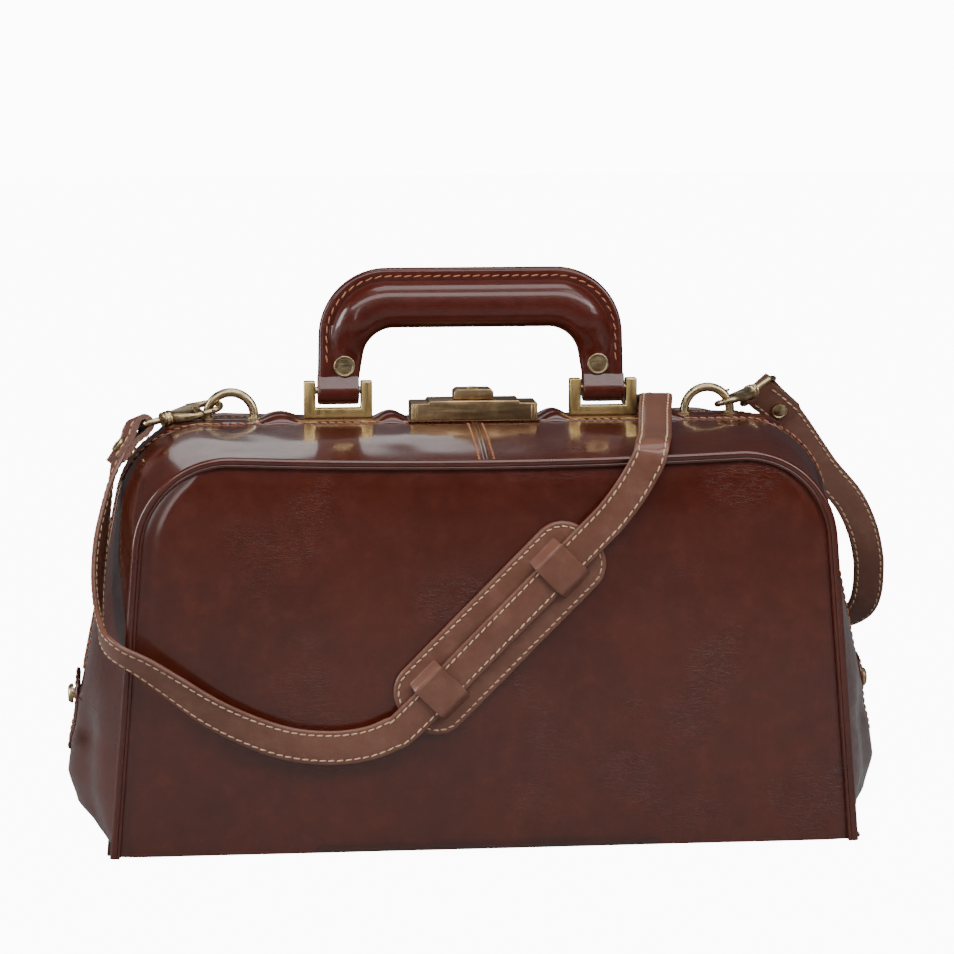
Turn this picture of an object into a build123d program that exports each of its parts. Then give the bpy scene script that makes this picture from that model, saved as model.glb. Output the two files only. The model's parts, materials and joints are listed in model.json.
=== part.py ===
from build123d import *
import os
from math import cos, radians, sin, sqrt

# A leather doctor bag.  X runs along the bag, Y from front to back, Z up.
# The origin is the middle of the bottom, on the surface that the bag stands on.
os.makedirs("parts", exist_ok=True)

# ---- the body ----
BODY_HALF = 176  # half the bag's length at the bottom, piping included
BODY_LEAN = 14 / 165  # how fast the ends lean in, per millimetre of height
BODY_TOP = 184.5  # top of the front and rear panels in the middle
SHOULDER = 190  # top of the panels near the corners
CORNER = 45  # radius of the panels' upper corners
PANEL_Y = 78.5  # inner face of the front and rear panels
PANEL = 2.5  # thickness of the panel leather
PIPING_R = 2.1  # radius of the piping cord in its leather
LEATHER = 2.4  # thickness of the gusset leather
PIPING_Y = PANEL_Y + 2  # middle of the piping
BAND_LOW = 60  # bottom of the upper gusset bands

# ---- the frame ----
HINGE_Z = 61.4  # height of the frame's hinge axis, which lies along X
FRAME_TOP = 193.6  # top of the leather over the closed frame
FRAME_HALF = 191.6  # half the frame's width at the hinge, leather included
FRAME_LEAN = 0.206  # how fast the frame's arms lean in
FRAME_CORNER = 43
FRAME_Y = 13  # outer edge of each frame half
GAP = 0.4  # from the mid plane to the closing edge of each half
COVER = 4  # leather and padding over the steel
STEEL = 2.5
PIN_R = 2.5
RUNNING = 0.05  # radial clearance of a pin that turns
STUD_R = 4.8  # domed stud on the outer end of the hinge pin

# ---- the hardware ----
BRACKET_X = 64.5  # middle of each handle bracket
BRACKET = 33
BRACKET_H = 18
POST = 5.6
HARDWARE_Y = 4.5  # middle of what is fixed to the rear half
PIVOT_Z = 207  # axis of the handle's pins
RING_X = 116.25  # middle of each strap ring
RING_R = 11.3
RING_Y = 6
RING_Z = 195  # middle of the ring's arch
WIRE_R = 2.2
LOCK_HALF = 30.5
LOCK_TOP = 203.4
CASE_LOW = FRAME_TOP + 0.4
CASE_FRONT, CASE_BACK = -14, 4.6
BUTTON_Y = -4.5  # middle of the sliding button and its key barrel
BUTTON_LOW, BUTTON_TOP = LOCK_TOP + 0.2, 208.5
BARREL_R = 3.6

# ---- the handle ----
GRIP_TOP, GRIP_LOW = 266, 237
LEG_OUT, LEG_IN = 74.3, 54.5  # outer and inner edge of the handle's legs
RIVET_X, RIVET_Z, RIVET_R = 61.5, 219, 5.2
PAD_STEPS = [(4.2, 3.8, 0), (8.0, 3.0, 3)]  # each step's start, thickness and shrink

# ---- the strap ----
STRAP = 16
STRAP_T = 2.6
HOOK = 25  # from the middle of a hook's loop to the end of its swivel
EYE = 12  # from there to the bar that holds the strap
LOOP_R, LOOP_WIRE = 5.6, 1.5  # the hook's loop round the ring
GATE_Y, GATE_R = LOOP_R, 1.3
LEG_ANGLE = radians(23)  # where on the ring's arch the hook hangs, above the horizontal
LAP_END = 18  # from the bar to the end of the riveted lap
LAP_RIVET = 13.5
PAD_LONG, PAD_WIDE, PAD_CORNER = 120, 38, 15
BRIDGE, BRIDGE_AT = 17, 39.5  # a bridge's length and its distance from the pad's middle
PAD_BACK, PAD_FACE = -81.6, -84.6

# ---- how cylinders are placed ----
ALONG_X = (0, 90, 0)
FROM_END = (Align.CENTER, Align.CENTER, Align.MIN)


def save(part, name):
    part.label = name
    export_step(part, "parts/" + name + ".step")


def end_x(z):
    """The bag's half length at a height, at its front and rear edges."""
    return BODY_HALF - BODY_LEAN * z


def arm_x(z):
    """The frame's half width at a height."""
    return FRAME_HALF - FRAME_LEAN * (z - HINGE_Z)


def body_outline(inset, low=0.0):
    """The front panel's outline, made smaller by inset all round but at the bottom."""
    top = SHOULDER - inset
    with BuildSketch() as outline:
        with BuildLine():
            foot = (end_x(low) - inset, low)
            head = (end_x(top) - inset, top)
            Line((-foot[0], low), foot)
            Line(foot, head)
            ThreePointArc(head, (0, BODY_TOP - inset), (-head[0], top))
            Line((-head[0], top), (-foot[0], low))
        make_face()
        fillet(outline.vertices().group_by(Axis.Y)[-1], CORNER - inset)
    return outline.sketch


def frame_outline(inset, low=HINGE_Z):
    """The closed frame's outline, made smaller by inset."""
    top = FRAME_TOP - inset
    side = inset * sqrt(1 + FRAME_LEAN**2)
    with BuildSketch() as outline:
        with BuildLine():
            foot = arm_x(low) - side
            head = arm_x(top) - side
            Line((-foot, low), (foot, low))
            Line((foot, low), (head, top))
            Line((head, top), (-head, top))
            Line((-head, top), (-foot, low))
        make_face()
        fillet(outline.vertices().group_by(Axis.Y)[-1], FRAME_CORNER - inset)
    return outline.sketch


def mirrored(part):
    """The same piece on the other side of the mid plane y = 0."""
    return mirror(part, about=Plane.XZ)


# ---- base, panels and piping ----
with BuildPart() as base_panel:
    with BuildSketch():
        Rectangle(340, 2 * PANEL_Y - 0.2)
    extrude(amount=3)
save(base_panel.part, "base_panel")

with BuildPart() as base_board:
    with BuildSketch(Plane.XY.offset(3)):
        RectangleRounded(330, 148, 6)
    extrude(amount=2.4)
save(base_board.part, "base_board")

with BuildPart() as front_panel:
    with BuildSketch(Plane.XZ.offset(PANEL_Y)):
        add(body_outline(2 * PIPING_R + 0.1))
    extrude(amount=PANEL)
    fillet(front_panel.edges().filter_by(Axis.Y).group_by(Axis.Z)[0], 5)
save(front_panel.part, "front_panel")
save(mirrored(front_panel.part), "rear_panel")

with BuildPart() as lining_front:
    with BuildSketch(Plane.XZ.offset(PANEL_Y - 1.2)):
        add(body_outline(9, 6))
    extrude(amount=1)
save(lining_front.part, "lining_front")
save(mirrored(lining_front.part), "lining_rear")

# The piping runs round both ends and the top of each panel.
with BuildPart() as piping_front:
    rim = Wire(body_outline(PIPING_R, 0.4).edges().sort_by(Axis.Y)[1:])
    seam = Plane.XZ.offset(PIPING_Y).from_local_coords(rim)
    with BuildSketch(Plane(seam @ 0, z_dir=seam % 0)):
        Circle(PIPING_R)
    sweep(path=seam)
save(piping_front.part, "piping_front")
save(mirrored(piping_front.part), "piping_rear")

# ---- lower gussets: they bulge between the panels, below the hinges ----
GUSSET_SECTIONS = [(0, 176), (5, 185), (13, 192), (27, 196.2), (40, 194.4), (57.5, 189.9)]
with BuildPart() as gusset_lower_right:
    for height, bulge in GUSSET_SECTIONS:
        edge = end_x(height) - 3
        with BuildSketch(Plane.XY.offset(height)):
            with BuildLine():
                ThreePointArc((edge, -PANEL_Y + 0.2), (bulge, 0), (edge, PANEL_Y - 0.2))
                Line((edge, PANEL_Y - 0.2), (edge - LEATHER, PANEL_Y - 0.2))
                ThreePointArc(
                    (edge - LEATHER, PANEL_Y - 0.2),
                    (bulge - LEATHER, 0),
                    (edge - LEATHER, -PANEL_Y + 0.2),
                )
                Line((edge - LEATHER, -PANEL_Y + 0.2), (edge, -PANEL_Y + 0.2))
            make_face()
    loft()
save(gusset_lower_right.part, "gusset_lower_right")
save(mirror(gusset_lower_right.part, about=Plane.YZ), "gusset_lower_left")

# ---- upper gussets: leather bands from each panel to its half of the frame ----
with BuildPart() as roof_band:
    for inset, mode in ((0, Mode.ADD), (LEATHER, Mode.SUBTRACT)):
        with BuildSketch(Plane.XZ.offset(PANEL_Y - 0.2)):
            add(body_outline(3 + inset, BAND_LOW - 20))
        with BuildSketch(Plane.XZ.offset(FRAME_Y + 0.2)):
            add(frame_outline(0.8 + inset, BAND_LOW - 20))
        loft(ruled=True, mode=mode)
    with Locations((0, -45, BAND_LOW - 30)):
        Box(400, 80, 60, mode=Mode.SUBTRACT)
with BuildPart() as roof_front_right:
    add(roof_band.part)
    split(bisect_by=Plane.YZ, keep=Keep.TOP)
with BuildPart() as roof_front_left:
    add(roof_band.part)
    split(bisect_by=Plane.YZ, keep=Keep.BOTTOM)
save(roof_front_right.part, "roof_front_right")
save(roof_front_left.part, "roof_front_left")
save(mirrored(roof_front_right.part), "roof_rear_right")
save(mirrored(roof_front_left.part), "roof_rear_left")


# ---- frame halves: a steel bow under a leather cover, with an eye at each end ----
def bow(outer, inner, y_near, y_far, clear):
    """A front bow between two insets, cut away round the hinge axis."""
    with BuildPart() as piece:
        with BuildSketch(Plane.XZ.offset(y_near)):
            add(frame_outline(outer))
            add(frame_outline(inner, HINGE_Z - 10), mode=Mode.SUBTRACT)
        extrude(amount=y_far - y_near)
        with Locations((0, 0, HINGE_Z)):
            Cylinder(clear, 500, rotation=ALONG_X, mode=Mode.SUBTRACT)
    return piece.part


def steel_bow(eye_x, strap_top):
    """The front steel bow with its eye plates at half width eye_x."""
    with BuildPart() as piece:
        add(bow(COVER + 0.1, COVER + STEEL + 0.1, 1.2, FRAME_Y - 1, 12))
        for side in (1, -1):
            with BuildSketch(Plane.YZ.offset(side * eye_x)):
                with Locations((0, HINGE_Z)):
                    Circle(7.5)
                with Locations((-6.6, (HINGE_Z + strap_top) / 2)):
                    Rectangle(10.8, strap_top - HINGE_Z)
            extrude(amount=1.1, both=True)
        with Locations((0, 0, HINGE_Z)):
            Cylinder(PIN_R + RUNNING, 500, rotation=ALONG_X, mode=Mode.SUBTRACT)
    return piece.part


save(steel_bow(183.5, 75), "frame_front")
save(mirrored(steel_bow(181.0, 87)), "frame_rear")
frame_cover = bow(0, COVER, GAP, FRAME_Y, 14.5)
save(Part(frame_cover.wrapped), "frame_cover_front")
save(mirrored(frame_cover), "frame_cover_rear")

# ---- hinges: a pin with a domed stud outside and a flat head inside, and a leather tab ----
with BuildPart() as hinge_tab_right:
    with BuildSketch(Plane.XZ.offset(-12.5)):
        with BuildLine():
            Polyline((190.4, 74), (193, 74), (193.2, 58), (199.6, 37), (197, 37), (190.6, 58), (190.4, 74))
        make_face()
    extrude(amount=25)
    fillet(hinge_tab_right.edges().filter_by(Axis.X).group_by(Axis.Z)[-1], 12)
    with Locations((190, 0, HINGE_Z)):
        Cylinder(PIN_R + 0.1, 20, rotation=ALONG_X, mode=Mode.SUBTRACT)
save(hinge_tab_right.part, "hinge_tab_right")
save(mirror(hinge_tab_right.part, about=Plane.YZ), "hinge_tab_left")

with BuildPart() as hinge_pin_right:
    with Locations((177, 0, HINGE_Z)):
        Cylinder(4.4, 2.4, rotation=ALONG_X, align=FROM_END)
        Cylinder(PIN_R, 18, rotation=ALONG_X, align=FROM_END)
    with Locations((193.8, 0, HINGE_Z)):
        Cylinder(STUD_R, 2.6, rotation=ALONG_X, align=FROM_END)
    fillet(hinge_pin_right.edges().filter_by(GeomType.CIRCLE).sort_by(Axis.X)[-1], 2)
save(hinge_pin_right.part, "hinge_pin_right")
save(mirror(hinge_pin_right.part, about=Plane.YZ), "hinge_pin_left")

# ---- lock: a plate and a case on the front half, a catch on the rear half ----
with BuildPart() as lock_plate:
    with Locations((0, -7.1, FRAME_TOP)):
        Box(2 * LOCK_HALF + 2, 13, 0.4, align=FROM_END)
save(lock_plate.part, "lock_plate")

with BuildPart() as lock_case:
    with BuildSketch(Plane.XZ.offset(-CASE_BACK)):
        with BuildLine():
            step = LOCK_TOP - 1.2
            Polyline(
                (-LOCK_HALF, CASE_LOW),
                (-LOCK_HALF, step),
                (-LOCK_HALF + 8.5, step),
                (-LOCK_HALF + 8.5, LOCK_TOP),
                (LOCK_HALF - 8.5, LOCK_TOP),
                (LOCK_HALF - 8.5, step),
                (LOCK_HALF, step),
                (LOCK_HALF, CASE_LOW),
                (-LOCK_HALF, CASE_LOW),
            )
        make_face()
    extrude(amount=CASE_BACK - CASE_FRONT)
    fillet(lock_case.edges().filter_by(Axis.Z).group_by(SortBy.LENGTH)[-1], 2.2)
    with Locations((0, -4.5, 198.5)):
        Box(32, 10, 5.8, mode=Mode.SUBTRACT)
    with Locations((0, 3, 198)):
        Box(12, 8, 4, mode=Mode.SUBTRACT)
    with Locations((2.5, -4.5, 202)):
        Box(12, 3, 4, mode=Mode.SUBTRACT)
    with Locations((-19, CASE_FRONT, CASE_LOW), (19, CASE_FRONT, CASE_LOW)):
        Box(5, 2, 2.4, mode=Mode.SUBTRACT)
save(lock_case.part, "lock_case")

with BuildPart() as lock_catch:
    with Locations((0, 6.4, FRAME_TOP)):
        Box(28, 2.2, 7.4, align=FROM_END)
    with Locations((0, 3.2, 198)):
        Box(10, 4.4, 2.8)
    with Locations((0, 9.4, FRAME_TOP)):
        Box(28, 4, 1, align=FROM_END)
save(lock_catch.part, "lock_catch")

with BuildPart() as lock_button:
    with Locations((0, BUTTON_Y, BUTTON_LOW)):
        Box(19.2, 12, BUTTON_TOP - BUTTON_LOW, align=FROM_END)
    fillet(lock_button.edges().filter_by(Axis.Z), 1.2)
    chamfer(lock_button.faces().sort_by(Axis.Z)[-1].edges(), 0.5)
    with Locations((0, BUTTON_Y, 201)):
        Box(5.6, 2, 3.2, align=FROM_END)
    with Locations((0, BUTTON_Y, 204.4)):
        Cylinder(
            BARREL_R + RUNNING,
            5,
            align=FROM_END,
            mode=Mode.SUBTRACT,
        )
save(lock_button.part, "lock_button")

with BuildPart() as latch_bolt:
    with Locations((0, BUTTON_Y, 197)):
        Box(18, 4, 4, align=FROM_END)
save(latch_bolt.part, "latch_bolt")

with BuildPart() as key_barrel:
    with Locations((0, BUTTON_Y, 204.5)):
        Cylinder(BARREL_R, 4.4, align=FROM_END)
    with Locations((0, BUTTON_Y, 208)):
        Box(1.2, 4.4, 3, mode=Mode.SUBTRACT)
save(key_barrel.part, "key_barrel")

# ---- handle brackets with their pins, on the rear half ----
for side, word in ((-1, "left"), (1, "right")):
    middle = side * BRACKET_X
    with BuildPart() as bracket:
        with BuildSketch(Plane.XZ.offset(-HARDWARE_Y - 3)):
            with Locations((middle, FRAME_TOP)):
                Rectangle(BRACKET, BRACKET_H, align=(Align.CENTER, Align.MIN))
            with Locations((middle, FRAME_TOP + 4.9)):
                Rectangle(
                    BRACKET - 2 * POST,
                    BRACKET_H,
                    align=(Align.CENTER, Align.MIN),
                    mode=Mode.SUBTRACT,
                )
        extrude(amount=6)
        chamfer(bracket.faces().sort_by(Axis.Y)[0].edges(), 0.5)
        with Locations((middle, HARDWARE_Y, PIVOT_Z)):
            Cylinder(1.9, BRACKET + 2, rotation=ALONG_X, mode=Mode.SUBTRACT)
    save(bracket.part, "bracket_" + word)

with BuildPart() as handle_pins:
    with Locations((-BRACKET_X, HARDWARE_Y, PIVOT_Z), (BRACKET_X, HARDWARE_Y, PIVOT_Z)):
        Cylinder(1.8, BRACKET - 1, rotation=ALONG_X)
save(handle_pins.part, "handle_pins")

# ---- handle: a flat stitched strap with a padded grip, wrapped round the pins ----


def handle_profile(inset):
    """The handle's outline, made smaller by inset along its outer edge."""
    with BuildSketch() as profile:
        with BuildLine():
            Polyline(
                (-LEG_OUT + inset, PIVOT_Z),
                (-73 + inset, GRIP_TOP - inset),
                (73 - inset, GRIP_TOP - inset),
                (LEG_OUT - inset, PIVOT_Z),
                (-LEG_OUT + inset, PIVOT_Z),
            )
        make_face()
        fillet(profile.vertices().group_by(Axis.Y)[-1], 33 - inset)
    with BuildSketch() as gap:
        with BuildLine():
            Polyline(
                (-LEG_IN, PIVOT_Z - 1),
                (-LEG_IN, 214),
                (-47, GRIP_LOW),
                (47, GRIP_LOW),
                (LEG_IN, 214),
                (LEG_IN, PIVOT_Z - 1),
                (-LEG_IN, PIVOT_Z - 1),
            )
        make_face()
        fillet(gap.vertices().group_by(Axis.Y)[-1], 15)
        fillet(gap.vertices().group_by(Axis.Y)[1], 15)
    return profile.sketch - gap.sketch


with BuildPart() as handle_grip:
    with BuildSketch(Plane.XZ.offset(-HARDWARE_Y)):
        add(handle_profile(0))
    extrude(amount=4.2, both=True)
    for side in (-1, 1):
        with Locations((side * (LEG_OUT + LEG_IN) / 2, HARDWARE_Y, PIVOT_Z)):
            Cylinder(7.2, LEG_OUT - LEG_IN, rotation=ALONG_X)
            Cylinder(1.8 + RUNNING, 60, rotation=ALONG_X, mode=Mode.SUBTRACT)
    with Locations((-RIVET_X, HARDWARE_Y, RIVET_Z), (RIVET_X, HARDWARE_Y, RIVET_Z)):
        Cylinder(1.6, 20, rotation=(90, 0, 0), mode=Mode.SUBTRACT)
save(handle_grip.part, "handle_grip")

# Two padded halves of the grip lie on the flat strap, front and back, in two steps each.
with BuildPart() as grip_pad:
    for start_y, thick, shrink in PAD_STEPS:
        with BuildSketch(Plane.XZ.offset(-HARDWARE_Y + start_y)) as pad_step:
            add(handle_profile(6.5 + shrink))
            with Locations((0, PIVOT_Z + 8 + shrink)):
                Rectangle(200, 35, mode=Mode.SUBTRACT)
            with Locations((0, GRIP_LOW - 20 + shrink)):
                Rectangle(94 + 2 * shrink, 40, mode=Mode.SUBTRACT)
        extrude(amount=thick)
save(grip_pad.part, "grip_pad_front")
save(mirror(grip_pad.part, about=Plane.XZ.offset(-HARDWARE_Y)), "grip_pad_rear")

with BuildPart() as handle_rivets:
    with Locations((-RIVET_X, HARDWARE_Y, RIVET_Z), (RIVET_X, HARDWARE_Y, RIVET_Z)):
        Cylinder(1.5, 10, rotation=(90, 0, 0))
    for near in (-1, 1):
        y = HARDWARE_Y + near * 4.9
        with Locations((-RIVET_X, y, RIVET_Z), (RIVET_X, y, RIVET_Z)):
            Cylinder(RIVET_R, 1.2, rotation=(90, 0, 0))
save(handle_rivets.part, "handle_rivets")

# ---- strap rings: half-round arches whose feet stand in eyelets on the rear half ----
for side, word in ((-1, "left"), (1, "right")):
    left_foot, right_foot = side * RING_X - RING_R, side * RING_X + RING_R
    with BuildPart() as ring:
        with BuildLine(Plane.XZ.offset(-RING_Y)) as wire:
            Line((left_foot, FRAME_TOP), (left_foot, RING_Z))
            RadiusArc((left_foot, RING_Z), (right_foot, RING_Z), RING_R)
            Line((right_foot, RING_Z), (right_foot, FRAME_TOP))
        arch = wire.wires()[0]
        with BuildSketch(Plane(arch @ 0, z_dir=arch % 0)):
            Circle(WIRE_R)
        sweep(path=arch)
    save(ring.part, "ring_" + word)

with BuildPart() as ring_eyelets:
    for side in (-1, 1):
        for foot in (-1, 1):
            with Locations((side * RING_X + foot * RING_R, RING_Y, FRAME_TOP)):
                Cylinder(4.1, 0.8, align=FROM_END)
                Cylinder(
                    WIRE_R + 0.1,
                    0.8,
                    align=FROM_END,
                    mode=Mode.SUBTRACT,
                )
save(ring_eyelets.part, "ring_eyelets")

# ---- snap hooks, each on the outer leg of its ring ----
HOOK_AXIS = {"left": (-0.90, -0.39, -0.19), "right": (0.641, 0.764, 0.091)}
EYE_AXIS = {"left": (-0.90, -0.39, -0.19), "right": (0.461, 0.881, -0.114)}
BAR_AXIS = {"left": (-0.344, 0.904, -0.255), "right": (-0.682, 0.270, -0.681)}
RUN_AXIS = {"left": (-0.50, -0.50, -0.70), "right": (0.732, 0.226, -0.644)}
with BuildSketch() as fold_loop:
    Circle(2.4 + STRAP_T)
    with Locations((LAP_END - 7, 0)):
        Rectangle(14, 2 * STRAP_T)
    make_hull()
with BuildSketch() as fold_hollow:
    Circle(2.4)
    with Locations((8, 0)):
        Circle(0.3)
    make_hull()

lap_plane = {}
for side, word in ((-1, "left"), (1, "right")):
    axis = Vector(*HOOK_AXIS[word]).normalized()
    leg_x = side * (RING_X + RING_R * cos(LEG_ANGLE))
    leg = Vector(leg_x, RING_Y, RING_Z + RING_R * sin(LEG_ANGLE))
    tangent = Vector(-side * sin(LEG_ANGLE), 0, cos(LEG_ANGLE))
    normal = tangent - axis * tangent.dot(axis)
    hook_plane = Plane(leg, x_dir=axis, z_dir=normal)

    with BuildPart(hook_plane) as hook_body:
        with Locations(Location((0, 0, 0), (0, 0, 90))):
            Torus(LOOP_R, LOOP_WIRE, major_angle=180, align=None)
        with Locations((0, -LOOP_R, 0)):
            Cylinder(LOOP_WIRE, 9, rotation=ALONG_X, align=FROM_END)
        with Locations((0, LOOP_R, 0)):
            Cylinder(LOOP_WIRE, 1.2, rotation=ALONG_X, align=FROM_END)
        with BuildSketch(hook_plane.offset(-2.4)):
            with BuildLine():
                Polyline((6.5, -7), (6.5, 7.6), (15.5, 7.4), (20, 3.6), (20, -3.6), (13, -6.4), (6.5, -7))
            make_face()
        extrude(amount=4.8)
        with Locations((6, GATE_Y, 0)):
            Cylinder(GATE_R + 0.1, 9.2, rotation=ALONG_X, align=FROM_END, mode=Mode.SUBTRACT)
        with Locations((11.2, GATE_Y, 1.5)):
            Box(7.2, 2.4, 4, mode=Mode.SUBTRACT)
        with Locations((16, 0, 0)):
            Cylinder(1.7, 5, rotation=ALONG_X, align=FROM_END, mode=Mode.SUBTRACT)
    save(hook_body.part, "hook_" + word)

    with BuildPart(hook_plane) as gate:
        with Locations((1.5, GATE_Y, 0)):
            Cylinder(GATE_R, 9.6, rotation=ALONG_X, align=FROM_END)
        with Locations((9.2, GATE_Y, 0)):
            Cylinder(0.9, 4.4, align=FROM_END)
        with Locations((9.2, GATE_Y, 4)):
            Cylinder(2.2, 1.2, align=FROM_END)
    save(gate.part, "gate_" + word)

    tip = leg + axis * HOOK
    eye_axis = Vector(*EYE_AXIS[word]).normalized()
    bar = Vector(*BAR_AXIS[word])
    bar = (bar - eye_axis * bar.dot(eye_axis)).normalized()
    eye_plane = Plane(tip, x_dir=eye_axis, z_dir=eye_axis.cross(bar))
    with BuildPart(hook_plane) as stem:
        with Locations((16.2, 0, 0)):
            Cylinder(1.6, 5, rotation=ALONG_X, align=FROM_END)
        with Locations((20.3, 0, 0)):
            Cylinder(3.7, HOOK - 20.3, rotation=ALONG_X, align=FROM_END)
    with BuildPart() as swivel:
        add(stem.part)
        with BuildSketch(eye_plane.offset(-1.4)):
            with BuildLine():
                Polyline((-1.6, -3), (-1.6, 3), (4, 11), (EYE + 1.5, 11), (EYE + 1.5, -11), (4, -11), (-1.6, -3))
            make_face()
            with BuildLine():
                Polyline((1.5, 0), (6, 8.8), (EYE - 1.5, 8.8), (EYE - 1.5, -8.8), (6, -8.8), (1.5, 0))
            make_face(mode=Mode.SUBTRACT)
        extrude(amount=2.8)
    save(swivel.part, "swivel_" + word)

    # The strap's end is folded round the bar and riveted to itself.
    run = Vector(*RUN_AXIS[word])
    run = (run - bar * run.dot(bar)).normalized()
    fold_plane = Plane(tip + eye_axis * EYE, x_dir=run, z_dir=bar)
    lap_plane[word] = Plane(fold_plane.from_local_coords((LAP_END, 0, 0)), x_dir=bar, z_dir=run)
    with BuildPart() as strap_end:
        with BuildSketch(fold_plane.offset(-STRAP / 2)):
            add(fold_loop.sketch)
            add(fold_hollow.sketch, mode=Mode.SUBTRACT)
        extrude(amount=STRAP)
        with Locations(Plane(fold_plane.from_local_coords((LAP_RIVET, 0, 0)), z_dir=fold_plane.y_dir)):
            Cylinder(1.4, 12, mode=Mode.SUBTRACT)
    save(strap_end.part, "strap_end_" + word)

    rivet_plane = Plane(fold_plane.from_local_coords((LAP_RIVET, 0, 0)), z_dir=fold_plane.y_dir)
    with BuildPart(rivet_plane) as strap_rivet:
        Cylinder(1.3, 7.8)
        for face in (-1, 1):
            with Locations((0, 0, face * 4.5)):
                Cylinder(4, 1.3)
    save(strap_rivet.part, "strap_rivet_" + word)

# ---- shoulder strap: flat leather, given by stations along its middle, right end first ----
# Each station is a point and the way the strap's width points there.  A run starts where
# the run before it ends, and the first and last runs start and end at the riveted laps.
PAD_MIDDLE = Vector(5, -87, 106)
PAD_RUN = Vector(0.703, 0, 0.711)
PAD_ACROSS = (0.711, 0, -0.703)
STRAIGHT = 59  # half the straight stretch that the shoulder pad sits on

route = {
    "strap_right_drop": [
        ((169.5, 43, 178), (-0.79, 0.05, -0.61)),
        ((184, 49, 158), (-0.80, 0, -0.60)),
        ((198, 54, 142), (-0.85, 0, -0.50)),
        ((206.5, 59, 126), (-0.93, 0, -0.37)),
        ((211, 64, 111), (-0.98, 0, -0.20)),
    ],
    "strap_rear_run": [
        ((212.5, 68.5, 101), (-1, 0, -0.10)),
        ((213, 74, 90), (-1, 0, 0.05)),
        ((211.5, 80, 81), (-0.95, -0.15, 0.25)),
        ((207, 86, 75), (-0.80, -0.40, 0.40)),
        ((199.5, 90, 72), (-0.50, -0.65, 0.55)),
        ((190, 92.5, 72.5), (-0.10, -0.80, 0.60)),
        ((178, 92.5, 79), (0.25, -0.65, 0.70)),
        ((164.5, 91, 92), (0.50, -0.40, 0.75)),
        ((150, 89.5, 108), (0.65, -0.15, 0.74)),
        ((135, 88.5, 128), (0.75, 0, 0.65)),
        ((121, 88, 149), (0.82, 0, 0.57)),
        ((108.5, 88, 170), (0.88, 0, 0.50)),
        ((98, 87.8, 185), (0.92, 0, 0.38)),
    ],
    "strap_crossing": [
        ((94, 86.3, 190.3), (0.97, -0.05, 0.20)),
        ((91.8, 80, 192.8), (1, 0, 0)),
        ((91, 62, 192.8), (1, 0, 0)),
        ((91, 42, 194.6), (1, 0, 0)),
        ((91, 20, 198.8), (1, 0, 0)),
        ((90, 0, 203), (1, -0.08, 0)),
        ((86.5, -20, 198.8), (0.985, -0.17, 0)),
        ((83, -42, 194), (0.985, -0.17, 0)),
        ((79.8, -62, 191.8), (0.985, -0.17, 0)),
        ((76.5, -79.5, 191.8), (0.98, -0.20, 0)),
        ((74.6, -86, 188.8), (0.96, -0.05, -0.20)),
        ((73, -87.5, 184), (0.93, 0, -0.37)),
    ],
    "strap_front_run": [
        ((65.8, -87.2, 171), (0.85, 0, -0.53)),
        ((57, -87, 159), (0.78, 0, -0.62)),
        (PAD_MIDDLE + PAD_RUN * STRAIGHT, PAD_ACROSS),
        (PAD_MIDDLE - PAD_RUN * STRAIGHT, PAD_ACROSS),
        ((-46, -87, 57.6), (0.45, 0, -0.89)),
        ((-58, -87, 53.4), (0.20, 0, -0.98)),
        ((-74, -87, 52), (0, 0, -1)),
        ((-92.5, -87.3, 54.3), (-0.25, 0.10, -0.96)),
        ((-110.7, -88, 60.9), (-0.38, 0.22, -0.90)),
        ((-129, -89, 70.7), (-0.45, 0.40, -0.80)),
        ((-147, -90, 83.7), (-0.45, 0.60, -0.66)),
        ((-159.5, -91, 92.5), (-0.38, 0.70, -0.60)),
        ((-170.5, -88.5, 98.5), (-0.25, 0.80, -0.50)),
        ((-177, -78.5, 103.5), (-0.10, 0.90, -0.42)),
    ],
    "strap_left_drop": [
        ((-179.5, -63, 112), (0.10, 0.88, -0.45)),
        ((-180, -48, 125), (0.25, 0.90, -0.35)),
        ((-178.6, -36, 140), (0.30, 0.93, -0.20)),
        ((-176.3, -28, 154), (0.20, 0.97, -0.10)),
        ((-173.6, -22.5, 167), (0, 1, -0.20)),
    ],
}
middle_line = [lap_plane["right"].origin]
width_ways = [lap_plane["right"].x_dir]
span = {}
for name, stations in route.items():
    span[name] = (len(middle_line) - 1, len(middle_line) + len(stations))
    middle_line += [Vector(point) for point, across in stations]
    width_ways += [Vector(across) for point, across in stations]
middle_line.append(lap_plane["left"].origin)
width_ways.append(lap_plane["left"].x_dir)
span["strap_left_drop"] = (span["strap_left_drop"][0], len(middle_line))

last = len(middle_line) - 1
sections = []
for i, point in enumerate(middle_line):
    forward = (middle_line[min(i + 1, last)] - middle_line[max(i - 1, 0)]).normalized()
    if i == 0:
        forward = lap_plane["right"].z_dir
    if i == last:
        forward = -lap_plane["left"].z_dir
    width = width_ways[i] - forward * width_ways[i].dot(forward)
    sections.append(Plane(point, x_dir=width, z_dir=forward))

for name, (first, end) in span.items():
    with BuildPart() as strap_run:
        for section in sections[first:end]:
            with BuildSketch(section):
                Rectangle(STRAP, STRAP_T)
        loft(ruled=True)
    save(strap_run.part, name)
steps = [(b - a).length for a, b in zip(middle_line, middle_line[1:])]
print("strap length between its laps", round(sum(steps)))

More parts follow.
